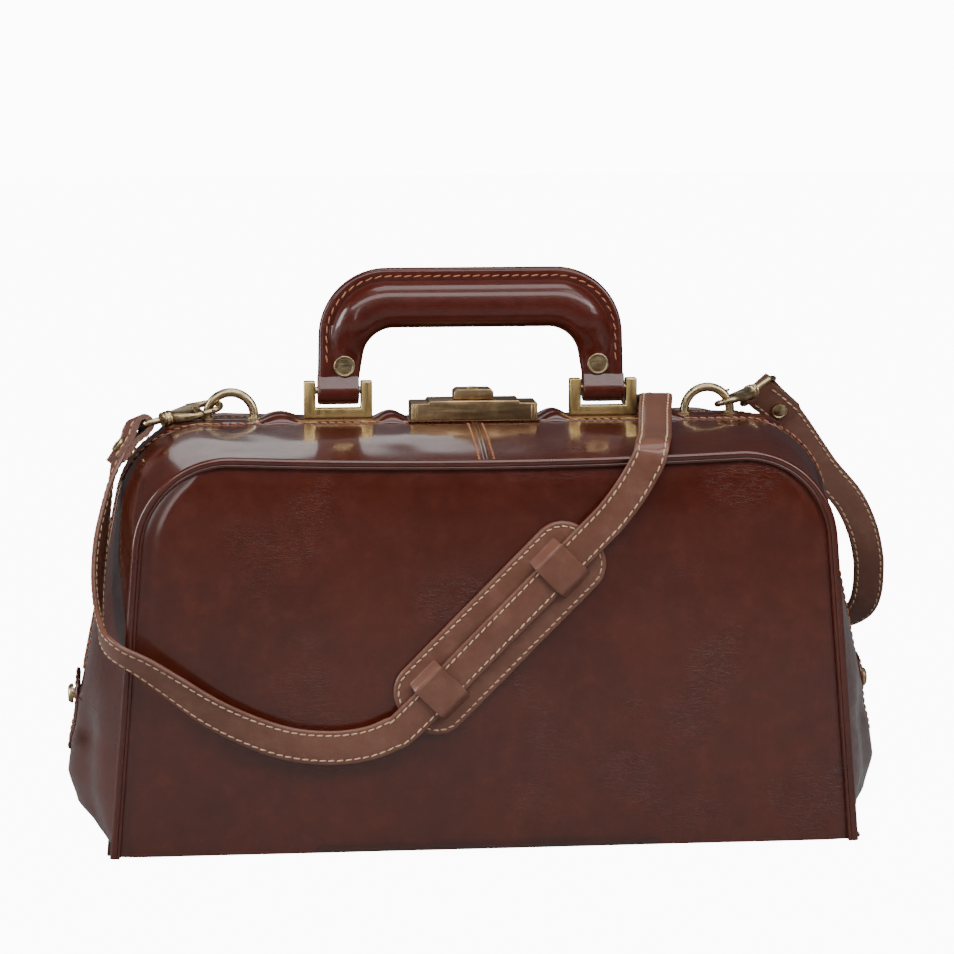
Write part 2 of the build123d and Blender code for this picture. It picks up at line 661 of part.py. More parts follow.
# ---- shoulder pad: a plate behind the strap and two bridges over it ----
with BuildPart() as shoulder_pad:
    origin = Vector(PAD_MIDDLE.X, PAD_BACK, PAD_MIDDLE.Z)
    pad_plane = Plane(origin, x_dir=PAD_RUN, z_dir=(0, -1, 0))
    with BuildSketch(pad_plane):
        RectangleRounded(PAD_LONG, PAD_WIDE, PAD_CORNER)
    extrude(amount=PAD_BACK - PAD_FACE)
    with BuildSketch(pad_plane.offset(PAD_BACK - PAD_FACE)):
        with Locations((-BRIDGE_AT, 0), (BRIDGE_AT, 0)):
            Rectangle(BRIDGE, 24)
    extrude(amount=6.6)
    with BuildSketch(pad_plane.offset(PAD_BACK - PAD_FACE)):
        with Locations((-BRIDGE_AT, 0), (BRIDGE_AT, 0)):
            Rectangle(BRIDGE + 2, 18)
    extrude(amount=4.6, mode=Mode.SUBTRACT)
save(shoulder_pad.part, "shoulder_pad")
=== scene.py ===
# %% [markdown]
# # A leather doctor bag
# The bag has a stiff front and rear panel, soft gussets, and a hinged steel frame under a
# leather cover that closes like a jaw.  The solid model already fixes every size and every
# joint, so this lesson only dresses it: leather sheets, piping, padding, thread and metal.
# Everything is measured in metres, X along the bag, Y from front to back and Z up.

# %% load the frame
import json
import math

import bmesh
import bpy
from mathutils import Matrix, Vector, noise
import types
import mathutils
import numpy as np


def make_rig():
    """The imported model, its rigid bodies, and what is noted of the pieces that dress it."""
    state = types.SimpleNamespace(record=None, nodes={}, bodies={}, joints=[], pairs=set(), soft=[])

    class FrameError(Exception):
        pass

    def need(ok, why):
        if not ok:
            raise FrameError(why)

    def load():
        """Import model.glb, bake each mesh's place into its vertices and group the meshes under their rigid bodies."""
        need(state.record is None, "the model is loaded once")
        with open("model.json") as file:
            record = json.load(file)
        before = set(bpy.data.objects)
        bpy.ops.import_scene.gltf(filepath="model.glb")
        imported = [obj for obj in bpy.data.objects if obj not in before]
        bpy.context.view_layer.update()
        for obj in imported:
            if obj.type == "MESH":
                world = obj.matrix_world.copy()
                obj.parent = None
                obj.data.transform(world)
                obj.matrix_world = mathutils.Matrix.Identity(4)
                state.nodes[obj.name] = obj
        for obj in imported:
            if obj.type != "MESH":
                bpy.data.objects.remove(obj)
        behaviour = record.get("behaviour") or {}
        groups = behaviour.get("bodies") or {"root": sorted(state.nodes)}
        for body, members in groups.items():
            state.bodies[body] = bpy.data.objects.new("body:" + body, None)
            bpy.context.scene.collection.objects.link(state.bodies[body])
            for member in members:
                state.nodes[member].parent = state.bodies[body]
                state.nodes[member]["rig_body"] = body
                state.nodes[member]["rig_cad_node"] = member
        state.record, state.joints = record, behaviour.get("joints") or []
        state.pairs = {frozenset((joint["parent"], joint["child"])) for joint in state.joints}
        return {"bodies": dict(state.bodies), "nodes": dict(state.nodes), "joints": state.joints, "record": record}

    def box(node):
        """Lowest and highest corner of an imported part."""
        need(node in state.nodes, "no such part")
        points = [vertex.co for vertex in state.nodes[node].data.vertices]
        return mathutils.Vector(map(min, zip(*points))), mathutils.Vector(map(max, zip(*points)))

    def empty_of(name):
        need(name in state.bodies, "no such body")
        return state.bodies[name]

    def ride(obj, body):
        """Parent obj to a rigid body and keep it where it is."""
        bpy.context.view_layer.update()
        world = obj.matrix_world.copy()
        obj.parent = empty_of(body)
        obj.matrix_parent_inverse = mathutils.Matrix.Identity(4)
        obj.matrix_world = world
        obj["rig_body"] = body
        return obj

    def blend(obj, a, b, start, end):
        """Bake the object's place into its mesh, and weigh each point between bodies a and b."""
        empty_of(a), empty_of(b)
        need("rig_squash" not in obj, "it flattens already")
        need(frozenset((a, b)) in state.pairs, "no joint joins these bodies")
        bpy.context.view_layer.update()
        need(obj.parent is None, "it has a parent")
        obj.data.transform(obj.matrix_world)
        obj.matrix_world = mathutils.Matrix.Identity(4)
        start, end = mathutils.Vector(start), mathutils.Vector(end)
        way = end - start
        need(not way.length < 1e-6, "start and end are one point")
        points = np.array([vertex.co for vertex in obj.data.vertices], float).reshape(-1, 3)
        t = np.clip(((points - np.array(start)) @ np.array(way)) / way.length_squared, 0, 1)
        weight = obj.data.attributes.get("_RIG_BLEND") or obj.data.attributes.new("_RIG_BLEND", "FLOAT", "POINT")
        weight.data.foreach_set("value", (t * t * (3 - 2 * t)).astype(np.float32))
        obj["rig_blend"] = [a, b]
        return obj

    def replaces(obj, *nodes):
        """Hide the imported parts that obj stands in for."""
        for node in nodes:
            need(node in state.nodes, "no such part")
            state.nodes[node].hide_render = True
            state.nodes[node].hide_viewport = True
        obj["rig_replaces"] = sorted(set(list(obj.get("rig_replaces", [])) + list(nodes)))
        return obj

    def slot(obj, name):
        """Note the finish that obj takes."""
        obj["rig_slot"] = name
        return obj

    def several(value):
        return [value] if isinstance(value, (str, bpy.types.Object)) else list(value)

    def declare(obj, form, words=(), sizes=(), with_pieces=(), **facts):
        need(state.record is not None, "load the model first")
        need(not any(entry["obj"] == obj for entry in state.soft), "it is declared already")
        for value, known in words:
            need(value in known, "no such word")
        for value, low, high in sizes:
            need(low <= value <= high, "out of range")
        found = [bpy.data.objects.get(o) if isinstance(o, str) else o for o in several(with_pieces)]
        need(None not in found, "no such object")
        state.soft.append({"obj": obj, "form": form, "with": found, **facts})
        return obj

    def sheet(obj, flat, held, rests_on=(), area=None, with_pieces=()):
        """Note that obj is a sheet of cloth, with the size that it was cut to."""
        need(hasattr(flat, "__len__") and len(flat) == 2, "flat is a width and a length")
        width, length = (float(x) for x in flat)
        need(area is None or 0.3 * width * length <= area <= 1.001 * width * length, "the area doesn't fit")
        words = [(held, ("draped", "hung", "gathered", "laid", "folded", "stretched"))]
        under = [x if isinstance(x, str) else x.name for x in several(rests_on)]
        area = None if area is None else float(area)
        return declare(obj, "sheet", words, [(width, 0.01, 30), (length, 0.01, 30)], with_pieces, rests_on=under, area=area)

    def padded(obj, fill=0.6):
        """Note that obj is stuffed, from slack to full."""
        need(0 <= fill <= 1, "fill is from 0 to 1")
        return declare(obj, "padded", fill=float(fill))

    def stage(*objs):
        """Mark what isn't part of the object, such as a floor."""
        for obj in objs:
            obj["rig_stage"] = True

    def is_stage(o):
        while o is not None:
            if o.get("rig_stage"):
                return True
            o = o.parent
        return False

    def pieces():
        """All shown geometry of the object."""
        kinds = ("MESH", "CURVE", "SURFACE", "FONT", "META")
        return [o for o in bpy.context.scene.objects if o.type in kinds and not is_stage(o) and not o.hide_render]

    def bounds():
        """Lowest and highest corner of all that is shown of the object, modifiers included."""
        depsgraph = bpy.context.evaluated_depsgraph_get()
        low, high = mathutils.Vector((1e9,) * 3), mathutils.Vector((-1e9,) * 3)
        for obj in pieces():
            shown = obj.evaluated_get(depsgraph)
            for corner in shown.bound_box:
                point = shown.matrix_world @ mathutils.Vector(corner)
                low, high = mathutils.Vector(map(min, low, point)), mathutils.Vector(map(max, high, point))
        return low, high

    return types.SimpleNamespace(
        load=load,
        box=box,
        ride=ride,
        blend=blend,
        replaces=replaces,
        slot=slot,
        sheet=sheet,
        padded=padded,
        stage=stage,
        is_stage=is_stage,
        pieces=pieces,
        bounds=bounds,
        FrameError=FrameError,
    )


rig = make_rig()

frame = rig.load()
cad_low, cad_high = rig.bounds()
print("solid model", len(frame["nodes"]), "nodes,", [round(v, 3) for v in cad_high - cad_low])

# %% [markdown]
# ## Driving sizes
# The leather shapes follow two outlines: the panel's, which the piping goes round, and the
# frame's, which leans in faster and has its top at the closing line.  Both are a leaning side,
# a round corner and a nearly flat top, so a few numbers drive both.

# %% sizes of the two outlines
MM = 0.001
BODY_HALF, BODY_LEAN = 176 * MM, 14 / 165
SHOULDER, BODY_MIDDLE, BODY_CORNER = 190 * MM, 184.5 * MM, 45 * MM
FRAME_HALF, FRAME_LEAN, FRAME_CORNER = 191.6 * MM, 0.206, 43 * MM
HINGE_Z = sum(v.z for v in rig.box("hinge_pin_right")) / 2
FRAME_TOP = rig.box("frame_cover_front")[1].z
PANEL_FACE = -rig.box("front_panel")[0].y
BAND_Y = -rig.box("roof_front_left")[0].y
FRAME_Y = -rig.box("frame_cover_front")[0].y
LOCK_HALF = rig.box("lock_case")[1].x
print("hinge at", round(HINGE_Z, 4), "frame top", round(FRAME_TOP, 4), "panel face", round(PANEL_FACE, 4))


# %% the outlines as points
def lerp(a, b, t):
    """Between a and b, at share t."""
    return a + (b - a) * t


def ease(t):
    """0 to 1 with soft ends, held outside that range."""
    t = min(max(t, 0), 1)
    return t * t * (3 - 2 * t)


def on_circle(radius, degrees):
    """A point on a circle, at an angle in degrees."""
    return radius * math.cos(math.radians(degrees)), radius * math.sin(math.radians(degrees))


def rounded_half(foot, head, middle_z, radius, counts):
    """An outline's right half in (x, z): up the side, round the corner, to the middle of the top."""
    side_n, corner_n, top_n = counts
    foot, head = Vector(foot), Vector(head)
    rise = head.y - middle_z
    up = (head - foot).normalized()
    back = Vector((-1, -2 * rise / head.x)).normalized()
    turn = up.angle(back)
    reach = radius * math.tan(turn / 2)
    start, end = head - up * reach, head + back * reach
    centre = start + Vector((-up.y, up.x)) * radius
    points = [lerp(foot, start, i / side_n) for i in range(side_n)]
    for i in range(corner_n):
        points.append(centre + Matrix.Rotation(turn * i / corner_n, 2) @ (start - centre))
    gap = end.y - (middle_z + rise * (end.x / head.x) ** 2)
    for i in range(top_n + 1):
        x = end.x * (1 - i / top_n)
        points.append(Vector((x, middle_z + rise * (x / head.x) ** 2 + gap * (x / end.x) ** 2)))
    return points


def both_sides(half):
    """The whole outline from its right half: over the top to the left foot."""
    return half + [Vector((-p.x, p.y)) for p in reversed(half[:-1])]


COUNTS = (26, 16, 56)


def body_outline(inset, low=0.0, counts=COUNTS):
    """The panel's outline, made smaller by inset at its ends and top."""
    def half_at(z):
        return BODY_HALF - BODY_LEAN * z - inset

    top = SHOULDER - inset
    foot, head = (half_at(low), low), (half_at(top), top)
    half = rounded_half(foot, head, BODY_MIDDLE - inset, BODY_CORNER - inset, counts)
    return both_sides(half)


def frame_outline(inset, low=HINGE_Z, counts=COUNTS):
    """The closed frame's outline, made smaller by inset."""
    def half_at(z):
        return FRAME_HALF - FRAME_LEAN * (z - HINGE_Z) - inset * math.hypot(1, FRAME_LEAN)

    top = FRAME_TOP - inset
    half = rounded_half((half_at(low), low), (half_at(top), top), top, FRAME_CORNER - inset, counts)
    return both_sides(half)


def outward(points):
    """The outward unit normals of an outline that runs from its right foot to its left foot."""
    last = len(points) - 1
    ways = [points[min(i + 1, last)] - points[max(i - 1, 0)] for i in range(last + 1)]
    return [Vector((w.y, -w.x)).normalized() for w in ways]


print("outline points", len(body_outline(0)))

# %% [markdown]
# ## Mesh helpers
# Leather is a sheet: its outer face is a grid of points and its back is the same grid moved in
# by the leather's thickness.  Cords, straps and handles are rings of points joined one after
# another.  Making them as grids and rings, and not by cutting blocks, keeps every face a neat
# quad that can bend with the frame.


# %% helpers that make a piece
def make_piece(name, points, faces, finish, slot=None, sharp=40):
    """A smooth mesh piece with its material, and edges sharper than an angle kept crisp."""
    mesh = bpy.data.meshes.new(name)
    mesh.from_pydata([tuple(p) for p in points], [], faces)
    shell = bmesh.new()
    shell.from_mesh(mesh)
    bmesh.ops.recalc_face_normals(shell, faces=shell.faces)
    shell.to_mesh(mesh)
    shell.free()
    mesh.polygons.foreach_set("use_smooth", [True] * len(mesh.polygons))
    mesh.set_sharp_from_angle(angle=math.radians(sharp))
    mesh.materials.append(finish)
    piece = bpy.data.objects.new(name, mesh)
    bpy.context.scene.collection.objects.link(piece)
    if slot:
        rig.slot(piece, slot)
    return piece


def grid_faces(rows, columns, first=0, around=False):
    """The quads between rows of points; around closes each row into a ring."""
    faces = []
    for r in range(rows - 1):
        for c in range(columns if around else columns - 1):
            a = first + r * columns + c
            b = first + r * columns + (c + 1) % columns
            faces.append((a, b, b + columns, a + columns))
    return faces


def leather_sheet(name, rows, thick, finish, slot=None, edge=0.35 * MM):
    """A closed sheet of leather; rows of points give its outer face."""
    last_row, last_column = len(rows) - 1, len(rows[0]) - 1
    normals = []
    for r, row in enumerate(rows):
        for c in range(len(row)):
            along = rows[min(r + 1, last_row)][c] - rows[max(r - 1, 0)][c]
            across = row[min(c + 1, last_column)] - row[max(c - 1, 0)]
            normals.append(along.cross(across).normalized())
    outer = [p for row in rows for p in row]
    inner = [p - n * thick for p, n in zip(outer, normals)]
    columns = last_column + 1
    rim = [c for c in range(columns)] + [r * columns + last_column for r in range(1, last_row + 1)]
    rim += [last_row * columns + c for c in range(last_column - 1, -1, -1)]
    rim += [r * columns for r in range(last_row - 1, 0, -1)]
    middle = sum(outer, Vector()) / len(outer)
    edge_loop = []
    for i in rim:
        inward = (middle - outer[i]).normalized() * edge
        edge_loop.append(lerp(outer[i], inner[i], 0.5) - inward)
    size = len(outer)
    faces = grid_faces(len(rows), columns) + [
        tuple(i + size for i in reversed(f)) for f in grid_faces(len(rows), columns)
    ]
    for k, i in enumerate(rim):
        j = rim[(k + 1) % len(rim)]
        e, f = 2 * size + k, 2 * size + (k + 1) % len(rim)
        faces += [(i, j, f, e), (e, f, j + size, i + size)]
    return make_piece(name, outer + inner + edge_loop, faces, finish, slot, sharp=75)


def ring_sweep(name, rings, finish, slot=None, closed=False, sharp=50):
    """Rings of points joined into a tube, with capped ends unless the tube closes on itself."""
    columns = len(rings[0])
    faces = grid_faces(len(rings), columns, around=True)
    if closed:
        last = (len(rings) - 1) * columns
        faces += [(last + c, last + (c + 1) % columns, (c + 1) % columns, c) for c in range(columns)]
    else:
        faces += [tuple(range(columns)), tuple((len(rings) - 1) * columns + c for c in range(columns))]
    return make_piece(name, [p for ring in rings for p in ring], faces, finish, slot, sharp)


def joined(name, pieces):
    """Several meshes as one piece, with the first one's material and slot."""
    first = pieces[0]
    with bpy.context.temp_override(active_object=first, selected_editable_objects=pieces):
        bpy.ops.object.join()
    first.name = name
    first.data.name = name
    return first


def stand_in(piece, body, *nodes):
    """The piece replaces CAD nodes and rides on their body."""
    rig.replaces(piece, *nodes)
    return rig.ride(piece, body)


def ripple(point, size, seed=0.0):
    """A smooth random height from -1 to 1, with hills about size apart."""
    return noise.noise(point / size + Vector((seed, seed * 1.7, -seed)))


# %% [markdown]
# ## Shader groups for leather
# Polished leather is dark dye over a lighter hide.  Up close it has pores and fine creases, and
# further off the dye is cloudy.  Several leathers share these effects, so each is a node group
# with named inputs, placed in every leather with its own values.


# %% a small node writer
def wire(tree, source, target):
    """Joins an output socket to an input socket."""
    tree.links.new(source, target)


def node(tree, kind, **settings):
    """A new node; a setting is a property, or an input when its name ends in _in."""
    made = tree.nodes.new(kind)
    for key, value in settings.items():
        if key.endswith("_in"):
            made.inputs[key[:-3].replace("_", " ").title()].default_value = value
        else:
            setattr(made, key, value)
    return made


def maths(tree, operation, first, second=0.0):
    """A Math node between sockets or plain numbers."""
    made = tree.nodes.new("ShaderNodeMath")
    made.operation = operation
    for socket, value in zip(made.inputs, (first, second)):
        if isinstance(value, (int, float)):
            socket.default_value = value
        else:
            wire(tree, value, socket)
    return made.outputs[0]


def times(tree, first, second):
    """The product of two sockets or plain numbers."""
    return maths(tree, "MULTIPLY", first, second)


def plus(tree, first, second):
    """The sum of two sockets or plain numbers."""
    return maths(tree, "ADD", first, second)


def ranged(tree, value, low, high, to_low=0.0, to_high=1.0):
    """Remaps a value from one range to another, held at both ends."""
    made = node(tree, "ShaderNodeMapRange", interpolation_type="SMOOTHSTEP")
    for key, number in zip(("From Min", "From Max", "To Min", "To Max"), (low, high, to_low, to_high)):
        made.inputs[key].default_value = number
    wire(tree, value, made.inputs["Value"])
    return made.outputs["Result"]


def blended(tree, share, first, second):
    """A colour between two colours."""
    made = node(tree, "ShaderNodeMix", data_type="RGBA")
    for socket, value in ((made.inputs[0], share), (made.inputs[6], first), (made.inputs[7], second)):
        if isinstance(value, (tuple, list)):
            socket.default_value = value
        else:
            wire(tree, value, socket)
    return made.outputs[2]


def cloud(tree, place, scale, detail=3.0, rough=0.55):
    """Soft noise at a scale per metre."""
    made = node(tree, "ShaderNodeTexNoise", scale_in=scale, detail_in=detail, roughness_in=rough)
    wire(tree, place, made.inputs["Vector"])
    return made.outputs["Fac"]


def new_group(name, inputs, outputs):
    """An empty shader group with named sockets, given as (name, kind, value)."""
    group = bpy.data.node_groups.new(name, "ShaderNodeTree")
    for label, kind, value in inputs:
        socket = group.interface.new_socket(label, in_out="INPUT", socket_type=kind)
        socket.default_value = value
    for label, kind in outputs:
        group.interface.new_socket(label, in_out="OUTPUT", socket_type=kind)
    return group, group.nodes.new("NodeGroupInput"), group.nodes.new("NodeGroupOutput")


FLOAT, COLOUR = "NodeSocketFloat", "NodeSocketColor"

# %% dye clouds: the colour and shine of the leather
dye_clouds, given, made = new_group(
    "dye_clouds",
    [
        ("Dye", COLOUR, (0.05, 0.015, 0.01, 1)),
        ("Deep", COLOUR, (0.02, 0.004, 0.003, 1)),
        ("Worn", COLOUR, (0.12, 0.04, 0.025, 1)),
        ("Shine", FLOAT, 0.3),
        ("Wear", FLOAT, 0.25),
    ],
    [("Color", COLOUR), ("Roughness", FLOAT)],
)
place = dye_clouds.nodes.new("ShaderNodeTexCoord").outputs["Object"]
big, small = cloud(dye_clouds, place, 22, 4), cloud(dye_clouds, place, 95, 6, 0.7)
speck = cloud(dye_clouds, place, 420, 2)
both = plus(dye_clouds, times(dye_clouds, big, 0.5), times(dye_clouds, small, 0.5))
depth = ranged(dye_clouds, both, 0.28, 0.66)
colour = blended(dye_clouds, depth, given.outputs["Deep"], given.outputs["Dye"])
rubbed = times(dye_clouds, ranged(dye_clouds, small, 0.52, 0.75), given.outputs["Wear"])
colour = blended(dye_clouds, rubbed, colour, given.outputs["Worn"])
colour = blended(dye_clouds, ranged(dye_clouds, speck, 0.55, 0.8, 0, 0.22), colour, given.outputs["Deep"])
wire(dye_clouds, colour, made.inputs["Color"])
uneven = ranged(dye_clouds, small, 0.3, 0.7, -0.05, 0.07)
wire(dye_clouds, plus(dye_clouds, given.outputs["Shine"], uneven), made.inputs["Roughness"])
print("dye_clouds has", len(dye_clouds.nodes), "nodes")

# %% hide grain: pores, creases in patches, and the slow waves of a pulled hide
hide_grain, given, made = new_group(
    "hide_grain",
    [("Pores", FLOAT, 0.02), ("Creases", FLOAT, 0.08), ("Waves", FLOAT, 0.5), ("Wave Scale", FLOAT, 16.0)],
    [("Height", FLOAT)],
)
place = hide_grain.nodes.new("ShaderNodeTexCoord").outputs["Object"]
cells = node(hide_grain, "ShaderNodeTexVoronoi", feature="DISTANCE_TO_EDGE", scale_in=1100)
wire(hide_grain, place, cells.inputs["Vector"])
rims = ranged(hide_grain, cells.outputs["Distance"], 0, 0.2)
pores = times(hide_grain, rims, given.outputs["Pores"])
lying = node(hide_grain, "ShaderNodeMapping")
lying.inputs["Scale"].default_value = (0.55, 1.0, 1.7)
lying.inputs["Rotation"].default_value = (0, 0.35, 0)
wire(hide_grain, place, lying.inputs["Vector"])
lines = []
for scale in (95, 210):
    ridge = maths(hide_grain, "SUBTRACT", cloud(hide_grain, lying.outputs[0], scale, 3, 0.6), 0.5)
    line = maths(hide_grain, "ABSOLUTE", ridge)
    lines.append(ranged(hide_grain, line, 0, 0.035, -1, 0))
patch = ranged(hide_grain, cloud(hide_grain, place, 17, 2), 0.5, 0.68)
creases = times(hide_grain, plus(hide_grain, lines[0], lines[1]), patch)
creases = times(hide_grain, creases, given.outputs["Creases"])
swell = node(hide_grain, "ShaderNodeTexNoise", detail_in=1.5, roughness_in=0.4)
wire(hide_grain, place, swell.inputs["Vector"])
wire(hide_grain, given.outputs["Wave Scale"], swell.inputs["Scale"])
waves = times(hide_grain, swell.outputs["Fac"], given.outputs["Waves"])
wire(hide_grain, plus(hide_grain, plus(hide_grain, pores, creases), waves), made.inputs["Height"])
print("hide_grain has", len(hide_grain.nodes), "nodes")

# %% rim wear and highlight: a brighter colour where a rounded corner would catch the hand, partly rubbed wear and partly a painted highlight
rim_wear_and_highlight, given, made = new_group("rim_wear_and_highlight", [("Reach", FLOAT, 0.0006)], [("Mask", FLOAT)])
rounded = node(rim_wear_and_highlight, "ShaderNodeBevel", samples=6)
wire(rim_wear_and_highlight, given.outputs["Reach"], rounded.inputs["Radius"])
true_face = rim_wear_and_highlight.nodes.new("ShaderNodeNewGeometry")
dot = node(rim_wear_and_highlight, "ShaderNodeVectorMath", operation="DOT_PRODUCT")
wire(rim_wear_and_highlight, rounded.outputs[0], dot.inputs[0])
wire(rim_wear_and_highlight, true_face.outputs["Normal"], dot.inputs[1])
wire(rim_wear_and_highlight, ranged(rim_wear_and_highlight, dot.outputs["Value"], 0.995, 0.8), made.inputs["Mask"])
print("rim_wear_and_highlight ready")


# %% [markdown]
# ## Leather finishes
# All the outer leather is vegetable-tanned and glazed, so the material is a rough dyed base
# under a thin clear coat.  The body is the darkest, the handle is redder and the strap, cut from
# thicker hide, is paler and a little duller.


# %% make a leather
def use_group(tree, group, **values):
    """Places a shader group with its own values."""
    placed = tree.nodes.new("ShaderNodeGroup")
    placed.node_tree = group
    for key, value in values.items():
        placed.inputs[key.replace("_", " ").title()].default_value = value
    return placed


def blank_material(name):
    """A material with only a Principled shader, and its tree and shader."""
    material = bpy.data.materials.new(name)
    material.use_nodes = True
    tree = material.node_tree
    return material, tree, tree.nodes["Principled BSDF"]


def bump_from(tree, height, shader):
    """Turns a height in millimetres into the shader's normal."""
    bump = node(tree, "ShaderNodeBump", strength_in=1.0, distance_in=MM)
    wire(tree, height, bump.inputs["Height"])
    wire(tree, bump.outputs[0], shader.inputs["Normal"])


def make_leather(name, dye, deep, worn, shine=0.3, wear=0.25, coat=0.5, **grain):
    """A glazed leather: cloudy dye, hide grain and a clear coat."""
    material, tree, shader = blank_material(name)
    colours = {"dye": (*dye, 1), "deep": (*deep, 1), "worn": (*worn, 1)}
    dyed = use_group(tree, dye_clouds, **colours, shine=shine, wear=wear)
    wire(tree, dyed.outputs["Color"], shader.inputs["Base Color"])
    wire(tree, dyed.outputs["Roughness"], shader.inputs["Roughness"])
    bump_from(tree, use_group(tree, hide_grain, **grain).outputs["Height"], shader)
    shader.inputs["Coat Weight"].default_value = coat
    shader.inputs["Coat Roughness"].default_value = 0.12
    shader.inputs["Specular IOR Level"].default_value = 0.3
    return material


body_leather = make_leather(
    "body_leather", (0.080, 0.0105, 0.0026), (0.054, 0.0062, 0.0016), (0.105, 0.018, 0.0060),
    shine=0.33, wear=0.3, coat=1.0, pores=0.012, creases=0.09, waves=0.9, wave_scale=13,
)
trim_leather = make_leather(
    "trim_leather", (0.074, 0.0098, 0.0026), (0.048, 0.0057, 0.0016), (0.10, 0.018, 0.0060),
    shine=0.32, wear=0.3, coat=0.9, pores=0.012, creases=0.03, waves=0.25, wave_scale=45,
)
handle_leather = make_leather(
    "handle_leather", (0.084, 0.0095, 0.0032), (0.052, 0.0053, 0.0018), (0.11, 0.018, 0.0070),
    shine=0.34, wear=0.3, coat=0.7, pores=0.02, creases=0.05, waves=0.25, wave_scale=40,
)
strap_leather = make_leather(
    "strap_leather", (0.180, 0.076, 0.050), (0.128, 0.048, 0.030), (0.24, 0.115, 0.078),
    shine=0.42, wear=0.3, coat=0.32, pores=0.02, creases=0.035, waves=0.12, wave_scale=40,
)
print("leathers", [m.name for m in bpy.data.materials])


# %% [markdown]
# ## Thread, lining and board
# Stitches are waxed thread, each one real geometry, so its material only needs a fine twist, with painted shade in its
# grooves.
# The lining is a plain woven cotton, with painted shade between its yarns, and the board in the base is pressed grey
# card.

# %% thread, lining and board
def make_thread(name, pale, dark):
    """Waxed thread with a fine diagonal twist, and painted shade in the grooves of the twist."""
    material, tree, shader = blank_material(name)
    place = tree.nodes.new("ShaderNodeTexCoord").outputs["Object"]
    twist = node(tree, "ShaderNodeTexWave", bands_direction="DIAGONAL", scale_in=900, distortion_in=1.5)
    wire(tree, place, twist.inputs["Vector"])
    colour = blended(tree, cloud(tree, place, 160), (*dark, 1), (*pale, 1))
    # painted shade: the thread is darkened in the grooves of the twist
    painted_groove_shade = ranged(tree, twist.outputs["Fac"], 0, 1, 0, 0.45)
    wire(tree, blended(tree, painted_groove_shade, colour, (*dark, 1)), shader.inputs["Base Color"])
    wire(tree, ranged(tree, twist.outputs["Fac"], 0, 1, 0.5, 0.75), shader.inputs["Roughness"])
    bump_from(tree, times(tree, twist.outputs["Fac"], 0.05), shader)
    return material


tan_thread = make_thread("tan_thread", (0.62, 0.28, 0.12), (0.30, 0.10, 0.045))
cream_thread = make_thread("cream_thread", (0.80, 0.62, 0.42), (0.42, 0.25, 0.14))

lining_cloth, tree, shader = blank_material("lining_cloth")
place = tree.nodes.new("ShaderNodeTexCoord").outputs["Object"]
weave = []
for turn in ("X", "Z"):
    yarn = node(tree, "ShaderNodeTexWave", bands_direction=turn, scale_in=420, distortion_in=0.6)
    wire(tree, place, yarn.inputs["Vector"])
    weave.append(yarn.outputs["Fac"])
cross_weave = maths(tree, "MAXIMUM", weave[0], weave[1])
cloth = blended(tree, cloud(tree, place, 60), (0.075, 0.035, 0.02, 1), (0.13, 0.065, 0.04, 1))
# painted shade: the cloth is darkened between the yarns of the weave
between = ranged(tree, cross_weave, 0.3, 1, 0.4, 0)
wire(tree, blended(tree, between, cloth, (0.03, 0.013, 0.008, 1)), shader.inputs["Base Color"])
wire(tree, ranged(tree, cross_weave, 0, 1, 0.95, 0.75), shader.inputs["Roughness"])
bump_from(tree, times(tree, cross_weave, 0.12), shader)

grey_board, tree, shader = blank_material("grey_board")
place = tree.nodes.new("ShaderNodeTexCoord").outputs["Object"]
fibre = cloud(tree, place, 380, 6, 0.7)
wire(tree, blended(tree, fibre, (0.16, 0.13, 0.10, 1), (0.34, 0.29, 0.24, 1)), shader.inputs["Base Color"])
wire(tree, ranged(tree, fibre, 0.3, 0.7, 0.8, 0.95), shader.inputs["Roughness"])
bump_from(tree, times(tree, fibre, 0.15), shader)
print("thread, lining and board ready")


# %% [markdown]
# ## Metal finishes
# The rings and hooks are brass that has been blackened and rubbed back, the handle brackets are
# brighter brushed brass, and the lock is darkest, with gold showing on its edges.  One recipe
# makes these and the plain steel of the frame: cloudy tarnish, fine brush lines, and a brighter
# rim colour on rounded edges, which is partly rubbed wear and partly a painted highlight.

# %% make a metal
def make_metal(name, bright, dark, tarnish, rim, rough, reach, brush=(1, 1, 1)):
    """Patinated metal, with tarnish clouds, brush lines and bright rims that are partly rubbed wear and partly a
    painted highlight.
    """
    material, tree, shader = blank_material(name)
    place = tree.nodes.new("ShaderNodeTexCoord").outputs["Object"]
    clouds = cloud(tree, place, 120, 5, 0.6)
    stains = cloud(tree, place, 34, 3)
    both = plus(tree, times(tree, clouds, 0.5), times(tree, stains, 0.5))
    share = ranged(tree, both, 0.5 - tarnish, 0.66 - tarnish * 0.5)
    colour = blended(tree, share, (*dark, 1), (*bright, 1))
    # brighter rim colour on rounded edges: partly rubbed wear, partly a painted highlight
    worn = use_group(tree, rim_wear_and_highlight, reach=reach)
    colour = blended(tree, worn.outputs["Mask"], colour, (*rim, 1))
    wire(tree, colour, shader.inputs["Base Color"])
    stretch = node(tree, "ShaderNodeMapping")
    stretch.inputs["Scale"].default_value = brush
    wire(tree, place, stretch.inputs["Vector"])
    lines = cloud(tree, stretch.outputs[0], 900, 3)
    scratched = ranged(tree, lines, 0.3, 0.7, rough - 0.06, rough + 0.08)
    wire(tree, plus(tree, scratched, ranged(tree, clouds, 0.4, 0.7, 0.08, 0)), shader.inputs["Roughness"])
    bump_from(tree, plus(tree, times(tree, lines, 0.012), times(tree, clouds, 0.05)), shader)
    shader.inputs["Metallic"].default_value = 1.0
    return material
